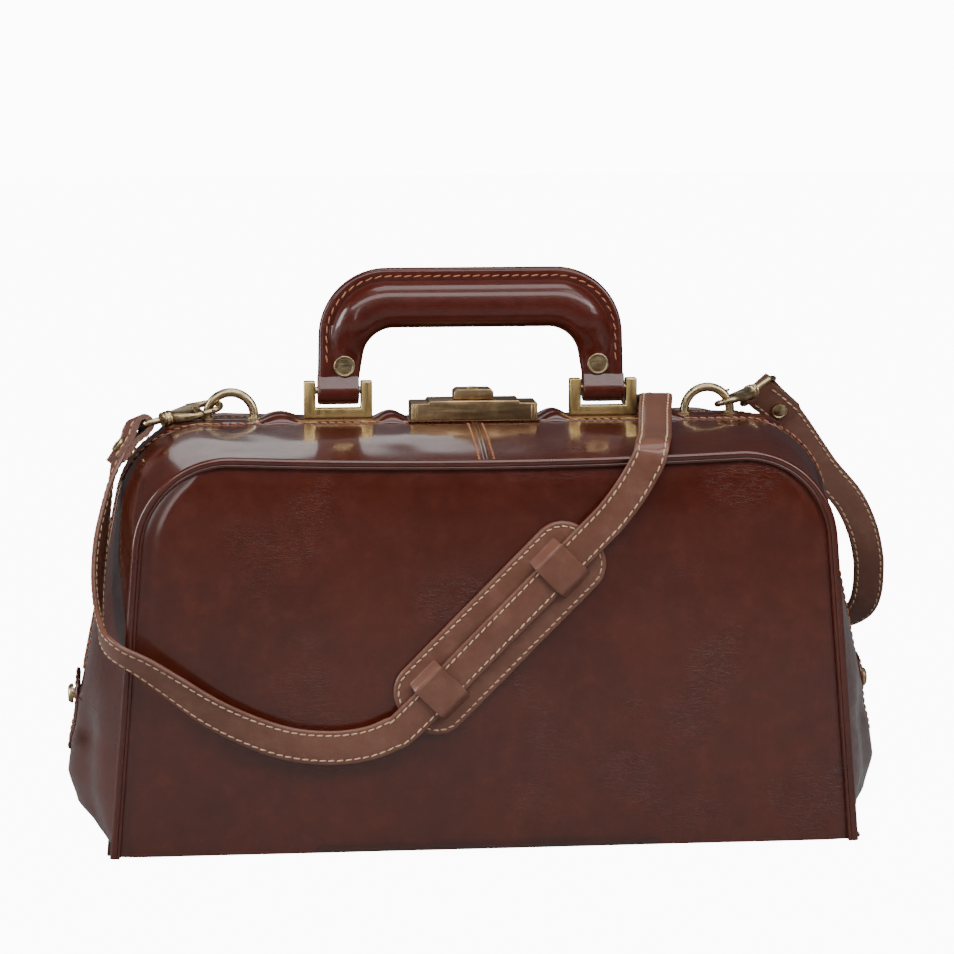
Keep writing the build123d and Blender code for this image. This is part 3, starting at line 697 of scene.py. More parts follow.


# each rim colour below is partly rubbed wear and partly a painted highlight on the rounded edges
bracket_brass = make_metal(
    "bracket_brass", (0.80, 0.58, 0.25), (0.52, 0.34, 0.12),
    tarnish=0.14, rim=(0.95, 0.76, 0.42), rough=0.3, reach=0.0007, brush=(1, 1, 0.08),
)
antique_brass = make_metal(
    "antique_brass", (0.74, 0.58, 0.34), (0.36, 0.26, 0.14),
    tarnish=0.09, rim=(0.92, 0.76, 0.48), rough=0.27, reach=0.0005, brush=(0.2, 1, 1),
)
lock_bronze = make_metal(
    "lock_bronze", (0.62, 0.42, 0.22), (0.28, 0.185, 0.10),
    tarnish=0.05, rim=(0.88, 0.64, 0.34), rough=0.32, reach=0.0008, brush=(0.05, 1, 1),
)
frame_steel = make_metal(
    "frame_steel", (0.50, 0.50, 0.50), (0.30, 0.29, 0.28),
    tarnish=0.1, rim=(0.65, 0.65, 0.64), rough=0.35, reach=0.0005,
)
print("metals ready")

# %% finishes on the solid nodes that stay
FINISH = {
    "bracket_brass": bracket_brass,
    "antique_brass": antique_brass,
    "lock_bronze": lock_bronze,
    "frame_steel": frame_steel,
    "board": grey_board,
    "lining": lining_cloth,
    "body_leather": body_leather,
    "trim_leather": trim_leather,
    "handle_leather": handle_leather,
    "strap_leather": strap_leather,
}
for part in frame["record"]["subparts"]:
    for place in frame["nodes"][part["node"]].material_slots:
        place.material = FINISH[part["material_slot"]]
print("finished", len(frame["nodes"]), "nodes")

# %% [markdown]
# ## Stitches
# A saddle stitch shows as short slanted grains of thread that sink into the leather at each end.
# Each one is a small spindle of geometry, because a painted line has no shadow.  One helper walks
# along any seam, and lays stitches end to end with the leather's own facing direction.


# %% lay stitches along a seam
def walk_line(points, step):
    """Places every step along a polyline, as (place, direction, share of the way)."""
    lengths = [(b - a).length for a, b in zip(points, points[1:])]
    total = sum(lengths)
    count = max(1, round(total / step))
    spacing = total / count
    out, i, passed = [], 0, 0.0
    for k in range(count):
        at = (k + 0.5) * spacing
        while i < len(lengths) - 1 and passed + lengths[i] < at:
            passed += lengths[i]
            i += 1
        share = (at - passed) / max(lengths[i], 1e-9)
        way = (points[i + 1] - points[i]).normalized()
        out.append((lerp(points[i], points[i + 1], share), way, i + share))
    return out


STITCH_PITCH, STITCH_LONG, THREAD_R = 4.0 * MM, 3.3 * MM, 0.42 * MM
SPINDLE = ((-0.5, 0.15), (-0.36, 0.8), (0, 1.0), (0.36, 0.8), (0.5, 0.15))
AROUND = 6


def stitch_row(name, points, facing, thread, body=None, slant=9, pitch=STITCH_PITCH, radius=THREAD_R):
    """A row of stitches along points; facing gives the leather's outward direction at each."""
    verts, faces = [], []
    for place, way, index in walk_line(points, pitch):
        low = int(index)
        up = lerp(facing[low], facing[min(low + 1, len(facing) - 1)], index - low).normalized()
        way = Matrix.Rotation(math.radians(slant), 3, up) @ way
        side = up.cross(way).normalized()
        length = STITCH_LONG * pitch / STITCH_PITCH
        first = len(verts)
        for along, thick in SPINDLE:
            middle = place + way * along * length + up * radius * (0.5 * thick - 0.35)
            for k in range(AROUND):
                angle = math.tau * k / AROUND
                verts.append(middle + (side * math.cos(angle) + up * math.sin(angle)) * radius * thick)
        faces += grid_faces(len(SPINDLE), AROUND, first, around=True)
        faces += [tuple(end + k for k in range(AROUND)) for end in (first, len(verts) - AROUND)]
    row = make_piece(name, verts, faces, thread, sharp=180)
    if body:
        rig.ride(row, body)
    return row


print("a stitch has", AROUND * len(SPINDLE), "points")

# %% [markdown]
# ## Front and rear panels
# Each panel is one piece of stiff leather, sunk a little where the piping holds it and swelling
# out to a nearly flat face with the slow waves of a real hide.  A grid that follows the panel's
# sides and its dipped top can carry those waves, so the reflections wander as they should.

# %% panels
PIPE_WIDE, SUNK = 4.2 * MM, 1.7 * MM
PANEL_ROWS, PANEL_COLUMNS = 70, 120
PANEL_THICK = 2.2 * MM
DIP = SHOULDER - BODY_MIDDLE


def half_width(z, inset):
    """The panel outline's half width at a height, round its upper corners too."""
    half = body_outline(inset)[: sum(COUNTS) + 1]
    for low, high in zip(half, half[1:]):
        if low.y <= z <= high.y:
            return lerp(low.x, high.x, (z - low.y) / max(high.y - low.y, 1e-9))
    return half[COUNTS[0] + COUNTS[1]].x


def panel_rows(side, seed):
    """The outer face of a panel; side is -1 for the front and 1 for the rear."""
    inset = PIPE_WIDE * 0.6
    peak = max(p.y for p in body_outline(inset))
    rows = []
    for r in range(PANEL_ROWS + 1):
        share = math.sin(math.pi / 2 * r / PANEL_ROWS) ** 0.9
        z_edge = lerp(0.5 * MM, peak - 0.05 * MM, share)
        wide = half_width(z_edge, inset)
        row = []
        for c in range(PANEL_COLUMNS + 1):
            s = math.sin(math.pi / 2 * (2 * c / PANEL_COLUMNS - 1))
            x = s * wide
            z = z_edge - DIP * share**4 * (1 - s * s) * (wide / BODY_HALF) ** 2 * 1.15
            rim = min((1 - abs(s)) * wide, (peak - z_edge) + DIP * 0.2, 30 * MM)
            held = ease(rim / (11 * MM)) * 0.7 + ease(rim / (27 * MM)) * 0.3
            low = ease(z / (12 * MM))
            swell = 0.3 * MM * (1 - (x / BODY_HALF) ** 2) * math.sin(math.pi * min(z / BODY_MIDDLE, 1))
            slow = 0.28 * MM * ripple(Vector((x, z, 0)), 60 * MM, seed)
            quick = 0.10 * MM * ripple(Vector((x * 0.6, z, 0)), 21 * MM, seed + 3)
            out = lerp(SUNK, 0, held) - (swell + (slow + quick) * held * 0.9)
            out += (1 - low) * 0.5 * MM
            row.append(Vector((x, side * (PANEL_FACE - out), z)))
        rows.append(row)
    return rows


for side, word, node_name in ((-1, "front", "front_panel"), (1, "rear", "rear_panel")):
    face = panel_rows(side, 2.0 + side)
    panel = leather_sheet("panel_" + word, face, side * PANEL_THICK, body_leather, "body_leather")
    stand_in(panel, "bag", node_name)
    print(panel.name, len(panel.data.vertices), "points")

# %% [markdown]
# ## Piping
# The edge of each panel is a thin cord rolled in leather, with the folded lip of the seam beside
# it, so it reads as two lines.  A cross-section of the two rolls is carried round the outline.


# %% carry a section along an outline
def carried(name, outline, section, finish, slot=None, push=None, sharp=60):
    """Carries a section, given as (outward, y), along an outline in the XZ plane."""
    rings = []
    for i, (p, n) in enumerate(zip(outline, outward(outline))):
        ring = []
        for out, y in section:
            extra = push(p, out, y) if push else 0
            q = p + n * (out + extra)
            ring.append(Vector((q.x, y, q.y)))
        rings.append(ring)
    return ring_sweep(name, rings, finish, slot, sharp=sharp)


CORD_R, LIP_R = 1.75 * MM, 0.85 * MM
CORD_Y, LIP_Y, UNDER_LIP = 80.6 * MM, 81.0 * MM, 79.0 * MM
LIP_OUT = -2 * CORD_R - 0.35 * MM


def piping_section(side):
    """The cord, and the lip of the seam on its inner side."""
    section = []
    for k in range(13):
        out, y = on_circle(CORD_R, -75 + 18.5 * k)
        section.append((out - CORD_R, side * (CORD_Y + y)))
    for k in range(7):
        out, y = on_circle(LIP_R, 20 + 30 * k)
        section.append((LIP_OUT + out, side * (LIP_Y + y)))
    return section + [(LIP_OUT - LIP_R, side * UNDER_LIP)]


for side, word in ((-1, "front"), (1, "rear")):
    outline = body_outline(0, 0.5 * MM, (60, 26, 60))
    piping = carried("piped_edge_" + word, outline, piping_section(side), trim_leather, "trim_leather")
    stand_in(piping, "bag", "piping_" + word)
print("piping cord", round(2 * CORD_R / MM, 1), "mm")

# %% [markdown]
# ## Gussets
# Leather closes the bag's ends and rises to the frame.  Below the hinges it bulges and stays with
# the body; above them it is a band from each panel to its half of the frame, and it must stretch
# and fold as the mouth opens.  So the lower part rides on the bag, and each upper band is blended:
# its panel edge stays while its frame edge turns with the frame.

# %% lower gussets
LEATHER = 2.2 * MM
BULGE = [(0, 176), (5, 185), (13, 192), (27, 196.2), (40, 194.6), (52, 191.6), (63, 190.5)]
FOLDS = ((-45, 0.22, 13, 2.2), (47, -0.18, 15, 1.8), (-18, 0.05, 9, -0.7), (24, 0.0, 10, -0.6))
GUSSET_TOP = 63 * MM
FLAT_Y = 13.2 * MM


def bulge_at(z):
    """How far the gusset's middle stands out at a height."""
    pairs = [(a * MM, b * MM) for a, b in BULGE]
    for (z0, x0), (z1, x1) in zip(pairs, pairs[1:]):
        if z <= z1:
            t = min(max((z - z0) / (z1 - z0), 0), 1)
            return lerp(x0, x1, lerp(t, ease(t), 0.35))
    return pairs[-1][1]


def gusset_fold(y, z, side):
    """Soft folds that run down from the hinge, deeper at the front of the left end."""
    depth = 0.0
    for line_y, lean, wide, deep in FOLDS:
        middle = (line_y + lean * (z / MM - 30)) * MM
        fade = ease(z / (14 * MM)) * ease((74 * MM - z) / (30 * MM) + 0.15)
        depth += deep * MM * math.exp(-(((y - middle) / (wide * MM)) ** 2)) * fade
    return depth + 0.35 * MM * ripple(Vector((side, y, z)), 33 * MM, 5)


for side, word in ((-1, "left"), (1, "right")):
    rows = []
    for r in range(41):
        z = GUSSET_TOP * (r / 40) ** 1.15 + 0.3 * MM
        seam_x = BODY_HALF - BODY_LEAN * z - 3 * MM
        reach = bulge_at(z) - seam_x
        row = []
        for c in range(81):
            y = lerp(-BAND_Y, BAND_Y, c / 80)
            across = min((BAND_Y - abs(y)) / (BAND_Y - FLAT_Y), 1)
            out = across + 0.712 * across * (1 - across)
            fold = gusset_fold(y, z, side) * ease((1 - abs(y) / BAND_Y) * 5)
            row.append(Vector((side * (seam_x + reach * out - fold), y, z)))
        rows.append(row)
    gusset = leather_sheet("gusset_end_" + word, rows, -side * LEATHER, trim_leather, "trim_leather")
    stand_in(gusset, "bag", "gusset_lower_" + word)
    print(gusset.name, len(gusset.data.vertices), "points")

# %% upper bands, from the panels to the frame halves
BAND_LOW = 60.5 * MM
BAND_COLUMNS = 22


def band_rows(side, skin=0.0):
    """The outer face of one band, from the piping to the frame, all round the mouth."""
    near = body_outline(3 * MM + skin, BAND_LOW)
    far = frame_outline(0.8 * MM + skin, BAND_LOW)
    rows = []
    for a, b, n in zip(near, far, outward(far)):
        height = (a.y - BAND_LOW) / (70 * MM)
        crown = lerp(4.1 * MM, 1.5 * MM, ease(height))
        row = []
        for c in range(BAND_COLUMNS + 1):
            t = c / BAND_COLUMNS
            y = side * lerp(BAND_Y, FLAT_Y, t)
            loose = 4 * t * (1 - t)
            slow = 0.75 * MM * ripple(Vector((a.x * 0.7, y, a.y)), 46 * MM, 8 + side)
            quick = 0.3 * MM * ripple(Vector((a.x, y, a.y)), 17 * MM, 4)
            q = lerp(a, b, t) + n * (crown + slow + quick) * loose
            if skin == 0 and height < 0.35:
                fade = ease((0.35 - height) * 4) * ease((1 - abs(y) / BAND_Y) * 5) * (1 - ease(height * 3))
                q -= n * gusset_fold(y, a.y, math.copysign(1, a.x)) * fade
            row.append(Vector((q.x, y, q.y)))
        rows.append(row)
    return rows


def bend_with_mouth(piece, side):
    """Blends a piece between the bag and its half of the frame."""
    half = "front_half" if side < 0 else "rear_half"
    still, moving = (0, side * BAND_Y, FRAME_TOP), (0, side * FLAT_Y, FRAME_TOP)
    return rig.blend(piece, "bag", half, start=still, end=moving)


for side, word in ((-1, "front"), (1, "rear")):
    band = leather_sheet("mouth_band_" + word, band_rows(side), side * LEATHER, trim_leather, "trim_leather")
    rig.replaces(band, f"roof_{word}_left", f"roof_{word}_right")
    bend_with_mouth(band, side)
    print(band.name, len(band.data.vertices), "points")

# %% [markdown]
# ## Centre seam of the bands
# The two halves of each band meet in the middle of the top under a narrow welt, with a stitch row
# on each side of it.

# %% centre welt and its stitches
WELT_HALF = 1.9 * MM
WELT_SECTION = [(-1, -0.5), (-0.85, 0.25), (-0.5, 0.5), (-0.14, 0.42), (0, 0.1)]
WELT_SECTION += [(-x, z) for x, z in reversed(WELT_SECTION[:-1])]
for side, word in ((-1, "front"), (1, "rear")):
    middle_row = band_rows(side)[sum(COUNTS)]
    facing = []
    for i, p in enumerate(middle_row):
        along = middle_row[min(i + 1, len(middle_row) - 1)] - middle_row[max(i - 1, 0)]
        up = along.cross(Vector((1, 0, 0))) * -side
        facing.append(up.normalized() if up.z > 0 else -up.normalized())
    rings = []
    for p, up in zip(middle_row, facing):
        rings.append([p + Vector((x * WELT_HALF, 0, 0)) + up * z * MM for x, z in WELT_SECTION])
    welt = ring_sweep("welt_" + word, rings, trim_leather, "trim_leather")
    bend_with_mouth(welt, side)
    rows = []
    ups = facing[1:-1]
    for x in (-3.4 * MM, 3.4 * MM):
        line = [p + Vector((x, 0, 0)) + up * 0.1 * MM for p, up in zip(middle_row[1:-1], ups)]
        rows.append(stitch_row("welt_row", line, ups, tan_thread, slant=20, pitch=3.1 * MM, radius=0.4 * MM))
    bend_with_mouth(joined("welt_stitches_" + word, rows), side)
print("welt", round(2 * WELT_HALF / MM, 1), "mm wide")

# %% [markdown]
# ## Frame covers
# Each steel bow is wrapped in padded leather.  Between the lock, the brackets and the rings the
# padding stands up in low humps, and screws pull it flat under the hardware.  The section is
# carried along the frame, and a push function raises the humps.

# %% frame covers with humps and an edge seam
GAP = 0.1 * MM
HUMPS = ((31.5, 47.6, 3.2), (81.6, 103.8, 3.2), (139.5, 152, 1.5))


def hump(p, out, y):
    """How far the padding stands up at a place on the frame."""
    if p.y < FRAME_TOP - 12 * MM or out < -2.5 * MM:
        return 0.0
    raised = 0.0
    for low, high, tall in HUMPS:
        t = (abs(p.x) / MM - low) / (high - low)
        if 0 < t < 1:
            raised = tall * MM * math.sin(math.pi * t) ** 1.2
    across = math.sin(math.pi * min(max((abs(y) - GAP) / (FRAME_Y - GAP), 0), 1)) ** 0.6
    return raised * across


COVER_SECTION = (
    (-4.0, 0.1), (-1.6, 0.1), (-0.7, 0.35), (-0.1, 1.3), (0.15, 2.6), (0.3, 4.6), (0.35, 6.6), (0.3, 8.6),
    (0.1, 10.4), (-0.25, 11.6), (-0.45, 12.5), (-0.9, 13.0), (-1.8, 13.1), (-4.0, 13.0),
)
COVER_LOW, SEAM_Y = 75.8 * MM, 12.1 * MM
for side, word in ((-1, "front"), (1, "rear")):
    section = [(a * MM, side * b * MM) for a, b in COVER_SECTION]
    outline = frame_outline(0, COVER_LOW, (30, 24, 110))
    normals = outward(outline)
    cover = carried("frame_leather_" + word, outline, section, trim_leather, "trim_leather", push=hump)
    stand_in(cover, word + "_half", "frame_cover_" + word)
    seam = []
    for p, n in zip(outline, normals):
        seam.append(Vector((p.x, side * SEAM_Y, p.y)) - Vector((n.x, 0, n.y)) * 0.2 * MM)
    facing = [Vector((n.x, side * 0.35, n.y)).normalized() for n in normals]
    stitch_row("frame_stitches_" + word, seam, facing, tan_thread, word + "_half", slant=-14, pitch=3.9 * MM)
print("humps", len(HUMPS) * 2, "on each half")

# %% [markdown]
# ## Hinge tabs
# A leather tab covers each hinge, with a rounded top and a row of stitches, and the domed stud of
# the hinge pin stands on it.

# %% hinge tabs
TAB_LINE = [(191.4, 74), (192.2, 66), (192.35, 58), (193.2, 50.5), (195.0, 43.5), (196.2, 37)]
TAB_HALF, TAB_TOP, TAB_CROWN, TAB_THICK = 12.5, 74, 0.5, 1.7


def tab_path(t):
    """A point (x, z) down the tab's outer face, in millimetres."""
    at = t * (len(TAB_LINE) - 1)
    i = min(int(at), len(TAB_LINE) - 2)
    a, b = Vector(TAB_LINE[i]), Vector(TAB_LINE[i + 1])
    return lerp(a, b, at - i)


for side, word in ((-1, "left"), (1, "right")):
    rows, seam_left, seam_right = [], [], []
    for r in range(25):
        t = (r / 24) ** 1.3
        x, z = tab_path(t)
        wide = TAB_HALF * math.sqrt(max(1 - max(1 - (TAB_TOP - z) / TAB_HALF, 0) ** 2, 0.02))
        row = []
        for c in range(-8, 9):
            t = c / 8
            row.append(Vector((side * (x + TAB_CROWN * (1 - t**4)), wide * t, z)) * MM)
        rows.append(row)
        if wide > 6:
            seam_left.append(Vector((side * (x + TAB_CROWN - 0.05), 2 - wide, z)) * MM)
            seam_right.append(Vector((side * (x + TAB_CROWN - 0.05), wide - 2, z)) * MM)
    tab = leather_sheet("hinge_leather_" + word, rows, side * TAB_THICK * MM, trim_leather, "trim_leather")
    stand_in(tab, "bag", "hinge_tab_" + word)
    seam = list(reversed(seam_left)) + seam_right
    facing = [Vector((side, 0, 0.1)).normalized()] * len(seam)
    stitch_row(
        "hinge_stitches_" + word, seam, facing, tan_thread, "bag", slant=8, pitch=3.4 * MM, radius=0.36 * MM
    )
print("tabs", TAB_HALF * 2, "mm wide")

# %% [markdown]
# ## Inside and underside
# The inside shows only when the mouth is open: a cotton lining on each panel that is slightly
# loose, a strip of it under each band, and a card-stiffened base.  The base leather is a separate
# sheet with turned-up edges.  The cloth could be draped by a simulation, but it is glued all
# round, so a few ripples in its grid say enough.  Its flat size is measured from the grid.

# %% base and lining
base_low, base_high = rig.box("base_panel")
TUCK = Vector((7 * MM, 0, 0))  # the ends reach under the lower gussets
base_low, base_high = base_low - TUCK, base_high + TUCK
rows = []
for r in range(41):
    x = lerp(base_low.x, base_high.x, r / 40)
    row = []
    for c in range(25):
        y = lerp(base_low.y, base_high.y, c / 24)
        turned = ease(1 - min(base_high.x - abs(x), base_high.y - abs(y)) / (5 * MM)) * 0.8 * MM
        bulge = 0.15 * MM * ripple(Vector((x, y, 0)), 50 * MM, 1)
        row.append(Vector((x, y, base_low.z + 0.2 * MM + turned + bulge)))
    rows.append(row)
base = leather_sheet("base_leather", rows, -2.0 * MM, trim_leather, "trim_leather")
stand_in(base, "bag", "base_panel")

def declare_cloth(piece, rows, wall):
    """Says that a piece is cloth fixed to a wall, with the flat size that its rows measure."""
    columns = list(zip(*rows))
    width = max(sum((b - a).length for a, b in zip(row, row[1:])) for row in rows)
    length = max(sum((b - a).length for a, b in zip(line, line[1:])) for line in columns)
    area = sum(face.area for face in piece.data.polygons) / 2
    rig.sheet(piece, flat=(width, length), held="stretched", rests_on=[wall], area=min(area, width * length))
    print(piece.name, "cut", round(width / MM), "by", round(length / MM), "mm")


for side, word in ((-1, "front"), (1, "rear")):
    low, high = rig.box("lining_" + word)
    face = low.y if side > 0 else high.y
    rows = []
    for r in range(31):
        z_edge = lerp(low.z, SHOULDER - 11 * MM, math.sin(math.pi / 2 * r / 30))
        wide = half_width(z_edge, 9 * MM)
        row = []
        for c in range(61):
            s = 2 * c / 60 - 1
            z = z_edge - DIP * (r / 30) ** 4 * (1 - s * s)
            loose = 0.6 * MM * (1 + ripple(Vector((s * wide, 0, z)), 38 * MM, 9 * side))
            row.append(Vector((s * wide, face - side * loose * ease((1 - abs(s)) * 8), z)))
        rows.append(row)
    lining = leather_sheet("lining_cloth_" + word, rows, side * -0.7 * MM, lining_cloth, "lining")
    stand_in(lining, "bag", "lining_" + word)
    declare_cloth(lining, rows, "panel_" + word)

for side, word in ((-1, "front"), (1, "rear")):
    rows = [row[1:-1] for row in band_rows(side, 2.6 * MM)]
    inner = leather_sheet("mouth_lining_" + word, rows, side * 0.6 * MM, lining_cloth, "lining")
    bend_with_mouth(inner, side)
    declare_cloth(inner, rows, "mouth_band_" + word)
print("lined")

# %% [markdown]
# ## Handle
# The handle is a strap of two leathers stitched near its outer edge, with a padded roll on the
# inner side that thins out above the rivets.  Its ends fold round the bracket pins.  One outline
# gives the outer edge and one the gap for the hand; cross-sections between them make the whole
# grip in one skin, thin at the stitched flange and full at the roll.

# %% handle sizes
grip_low, grip_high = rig.box("handle_grip")
pin_low, pin_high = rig.box("handle_pins")
HANDLE_Y = (grip_low.y + grip_high.y) / 2
PIVOT_Z = (pin_low.z + pin_high.z) / 2
LEG_OUT, LEG_IN = grip_high.x, 54.5 * MM
LEG_LOW, HAND_TOP = 211 * MM, 237 * MM
FLANGE, ROLL = 6.2 * MM, 10.4 * MM
rivet_low, rivet_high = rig.box("handle_rivets")
RIVET_Z = (rivet_low.z + rivet_high.z) / 2
RIVET_X = rivet_high.x - 5.2 * MM
GRIP_COUNTS = (16, 22, 26)
head = (LEG_OUT - 1.3 * MM, grip_high.z)
outer_half = rounded_half((LEG_OUT, LEG_LOW), head, grip_high.z + 0.1 * MM, 33 * MM, GRIP_COUNTS)
head = (LEG_IN - 4.5 * MM, HAND_TOP)
inner_half = rounded_half((LEG_IN, LEG_LOW), head, HAND_TOP, 15 * MM, GRIP_COUNTS)
grip_outer, grip_inner = both_sides(outer_half), both_sides(inner_half)
print("grip is", round((grip_high.z - HAND_TOP) / MM, 1), "mm deep at the top")


# %% handle skin
def roll_at(z):
    """Half thickness of the padded roll at a height of its middle line."""
    return lerp(4.4 * MM, ROLL, ease((z - RIVET_Z - 3 * MM) / (24 * MM)))


def flange_at(z):
    """Half thickness of the stitched flange, which thickens round the rivets."""
    return lerp(4.2 * MM, 2.9 * MM, ease((z - RIVET_Z) / (16 * MM)))


def grip_ring(o, i):
    """A cross-section from the outer edge o to the inner edge i."""
    across = i - o
    wide = across.length
    middle_z = (o.y + i.y) / 2
    full = roll_at(middle_z)
    thin = flange_at(middle_z)
    half = [(0, 0.0), (0.25 * MM, thin * 0.62), (0.9 * MM, thin * 0.95)]
    half += [(2.2 * MM, thin), (FLANGE - 1.4 * MM, thin)]
    roll = wide - FLANGE
    for k in range(11):
        angle = math.pi * (k / 10) ** 0.9
        swell = max(math.sin(angle), 0) ** 0.62
        floor_y = thin * 0.93 * (1 - k / 10) ** 0.25
        half.append((FLANGE + roll * (0.5 - 0.5 * math.cos(angle)), max(floor_y, full * swell)))
    half[-1] = (wide, 0.0)
    ring = []
    for a, y in half + [(a, -y) for a, y in reversed(half[1:-1])]:
        q = lerp(o, i, a / wide)
        ring.append(Vector((q.x, HANDLE_Y + y, q.y)))
    return ring


rings = [grip_ring(o, i) for o, i in zip(grip_outer, grip_inner)]
grip = ring_sweep("grip_leather", rings, handle_leather, "handle_leather", sharp=75)
WRAP_R = 6.9 * MM
WRAP_ROUND = [(0, 0.9), (0.012, 0.96), (0.035, 0.99), (0.08, 1)]
WRAP_ROUND += [(0.5, 1.01), (0.92, 1), (0.965, 0.99), (0.988, 0.96), (1, 0.9)]


def wrapped_end(side):
    """The strap's end, folded round the pin under the grip."""
    shape = [on_circle(WRAP_R, 180 + 180 * k / 14) for k in range(15)]
    shape += [(6.3 * MM, 2.0 * MM), (5.0 * MM, 4.6 * MM), (4.12 * MM, 7.0 * MM)]
    shape += [(-y, z) for y, z in reversed(shape[-3:])]
    rings = []
    for t, small in WRAP_ROUND:
        x = side * lerp(LEG_IN, LEG_OUT, t)
        ring = [Vector((x, HANDLE_Y + y * small, PIVOT_Z + (z if z > 0 else z * small))) for y, z in shape]
        rings.append(ring)
    return ring_sweep("wrapped", rings, handle_leather, sharp=60)


grip = joined("grip_leather", [grip, wrapped_end(-1), wrapped_end(1)])
stand_in(grip, "handle", "handle_grip", "grip_pad_front", "grip_pad_rear")
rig.padded(grip, fill=0.9)

rows = []
for face in (-1, 1):
    line, facing = [], []
    for o, i in list(zip(grip_outer, grip_inner))[7:-7]:
        q = o + (i - o).normalized() * 4.1 * MM
        line.append(Vector((q.x, HANDLE_Y + face * flange_at((o.y + i.y) / 2), q.y)))
        facing.append(Vector((0, face, 0)))
    rows.append(stitch_row("grip_row", line, facing, tan_thread, slant=10, pitch=4.7 * MM, radius=0.4 * MM))
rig.ride(joined("grip_stitches", rows), "handle")
print(grip.name, len(grip.data.vertices), "points")

# %% [markdown]
# ## Shoulder strap
# The strap is flat leather that keeps its width and thickness while it turns over, so it is given
# by stations: a point on its middle line, and the way its width points there.  A smooth curve
# goes through the stations, and a rounded section is carried along it.  The two drops that hang
# from the hooks are blended, because their tops move with the rear half of the frame.

# %% strap stations, right hook to left hook, in millimetres
PAD_MIDDLE, PAD_RUN, PAD_ACROSS = Vector((5, -87, 106)), Vector((0.703, 0, 0.711)), (0.711, 0, -0.703)
STATIONS = {
    "right_drop": [
        ((161.34, 39.7, 188.73), (-0.682, 0.269, -0.680)),
        ((169.5, 43, 178), (-0.79, 0.05, -0.61)), ((184, 49, 158), (-0.80, 0, -0.60)),
        ((198, 54, 142), (-0.85, 0, -0.50)), ((206.5, 59, 126), (-0.93, 0, -0.37)),
        ((211, 64, 111), (-0.98, 0, -0.20)),
    ],
    "rear_run": [
        ((212.5, 68.5, 101), (-1, 0, -0.10)), ((213, 74, 90), (-1, 0, 0.05)),
        ((211.5, 80, 81), (-0.95, -0.15, 0.25)), ((207, 86, 75), (-0.80, -0.40, 0.40)),
        ((199.5, 90, 72), (-0.50, -0.65, 0.55)), ((190, 92.5, 72.5), (-0.10, -0.80, 0.60)),
        ((178, 92.5, 79), (0.25, -0.65, 0.70)), ((164.5, 91, 92), (0.50, -0.40, 0.75)),
        ((150, 89.5, 108), (0.65, -0.15, 0.74)), ((135, 88.5, 128), (0.75, 0, 0.65)),
        ((121, 88, 149), (0.82, 0, 0.57)), ((108.5, 88, 170), (0.88, 0, 0.50)),
        ((98, 87.8, 185), (0.92, 0, 0.38)),
    ],
    "crossing": [
        ((94, 86.3, 190.3), (0.97, -0.05, 0.20)), ((91.8, 80, 192.8), (1, 0, 0)),
        ((91, 62, 192.8), (1, 0, 0)), ((91, 42, 194.6), (1, 0, 0)), ((91, 20, 198.8), (1, 0, 0)),
        ((90, 0, 203), (1, -0.08, 0)), ((86.5, -20, 198.8), (0.985, -0.17, 0)),
        ((83, -42, 194), (0.985, -0.17, 0)), ((79.8, -62, 191.8), (0.985, -0.17, 0)),
        ((76.5, -79.5, 191.8), (0.98, -0.20, 0)), ((74.6, -86, 188.8), (0.96, -0.05, -0.20)),
        ((73, -87.5, 184), (0.93, 0, -0.37)),
    ],
    "front_run": [
        ((65.8, -87.2, 171), (0.85, 0, -0.53)), ((57, -87, 159), (0.78, 0, -0.62)),
        (PAD_MIDDLE + PAD_RUN * 59, PAD_ACROSS), (PAD_MIDDLE, PAD_ACROSS),
        (PAD_MIDDLE - PAD_RUN * 59, PAD_ACROSS),
        ((-46, -87, 57.6), (0.45, 0, -0.89)), ((-58, -87, 53.4), (0.20, 0, -0.98)),
        ((-74, -87, 52), (0, 0, -1)), ((-92.5, -87.3, 54.3), (-0.25, 0.10, -0.96)),
        ((-110.7, -88, 60.9), (-0.38, 0.22, -0.90)), ((-129, -89, 70.7), (-0.45, 0.40, -0.80)),
        ((-147, -90, 83.7), (-0.45, 0.60, -0.66)), ((-159.5, -91, 92.5), (-0.38, 0.70, -0.60)),
        ((-170.5, -88.5, 98.5), (-0.25, 0.80, -0.50)), ((-177, -78.5, 103.5), (-0.10, 0.90, -0.42)),
    ],
    "left_drop": [
        ((-179.5, -63, 112), (0.10, 0.88, -0.45)), ((-180, -48, 125), (0.25, 0.90, -0.35)),
        ((-178.6, -36, 140), (0.30, 0.93, -0.20)), ((-176.3, -28, 154), (0.20, 0.97, -0.10)),
        ((-173.6, -22.5, 167), (0, 1, -0.20)), ((-169.73, -15.8, 179.15), (-0.339, 0.906, -0.254)),
    ],
}
stations = [s for run in STATIONS.values() for s in run]
print("strap stations", len(stations))


# %% a smooth strap through its stations
def through(values, i, t):
    """A smooth value between values i and i + 1."""
    a, b = values[max(i - 1, 0)], values[i]
    c, d = values[min(i + 1, len(values) - 1)], values[min(i + 2, len(values) - 1)]
    return 0.5 * (2 * b + (c - a) * t + (2 * a - 5 * b + 4 * c - d) * t * t + (3 * b - a - 3 * c + d) * t**3)


FINE = 7
spots = [Vector(p) * MM for p, way in stations]
widths = [Vector(way).normalized() for p, way in stations]
line, across_ways = [], []
for i in range(len(spots) - 1):
    for k in range(FINE):
        line.append(through(spots, i, k / FINE))
        across_ways.append(through(widths, i, k / FINE))
line.append(spots[-1])
across_ways.append(widths[-1])
strap_frames = []
for i, p in enumerate(line):
    way = (line[min(i + 1, len(line) - 1)] - line[max(i - 1, 0)]).normalized()
    across = (across_ways[i] - way * across_ways[i].dot(way)).normalized()
    strap_frames.append((p, across, way.cross(across)))
strap_length = sum((b - a).length for a, b in zip(line, line[1:]))
print("strap between its laps", round(strap_length / MM), "mm")

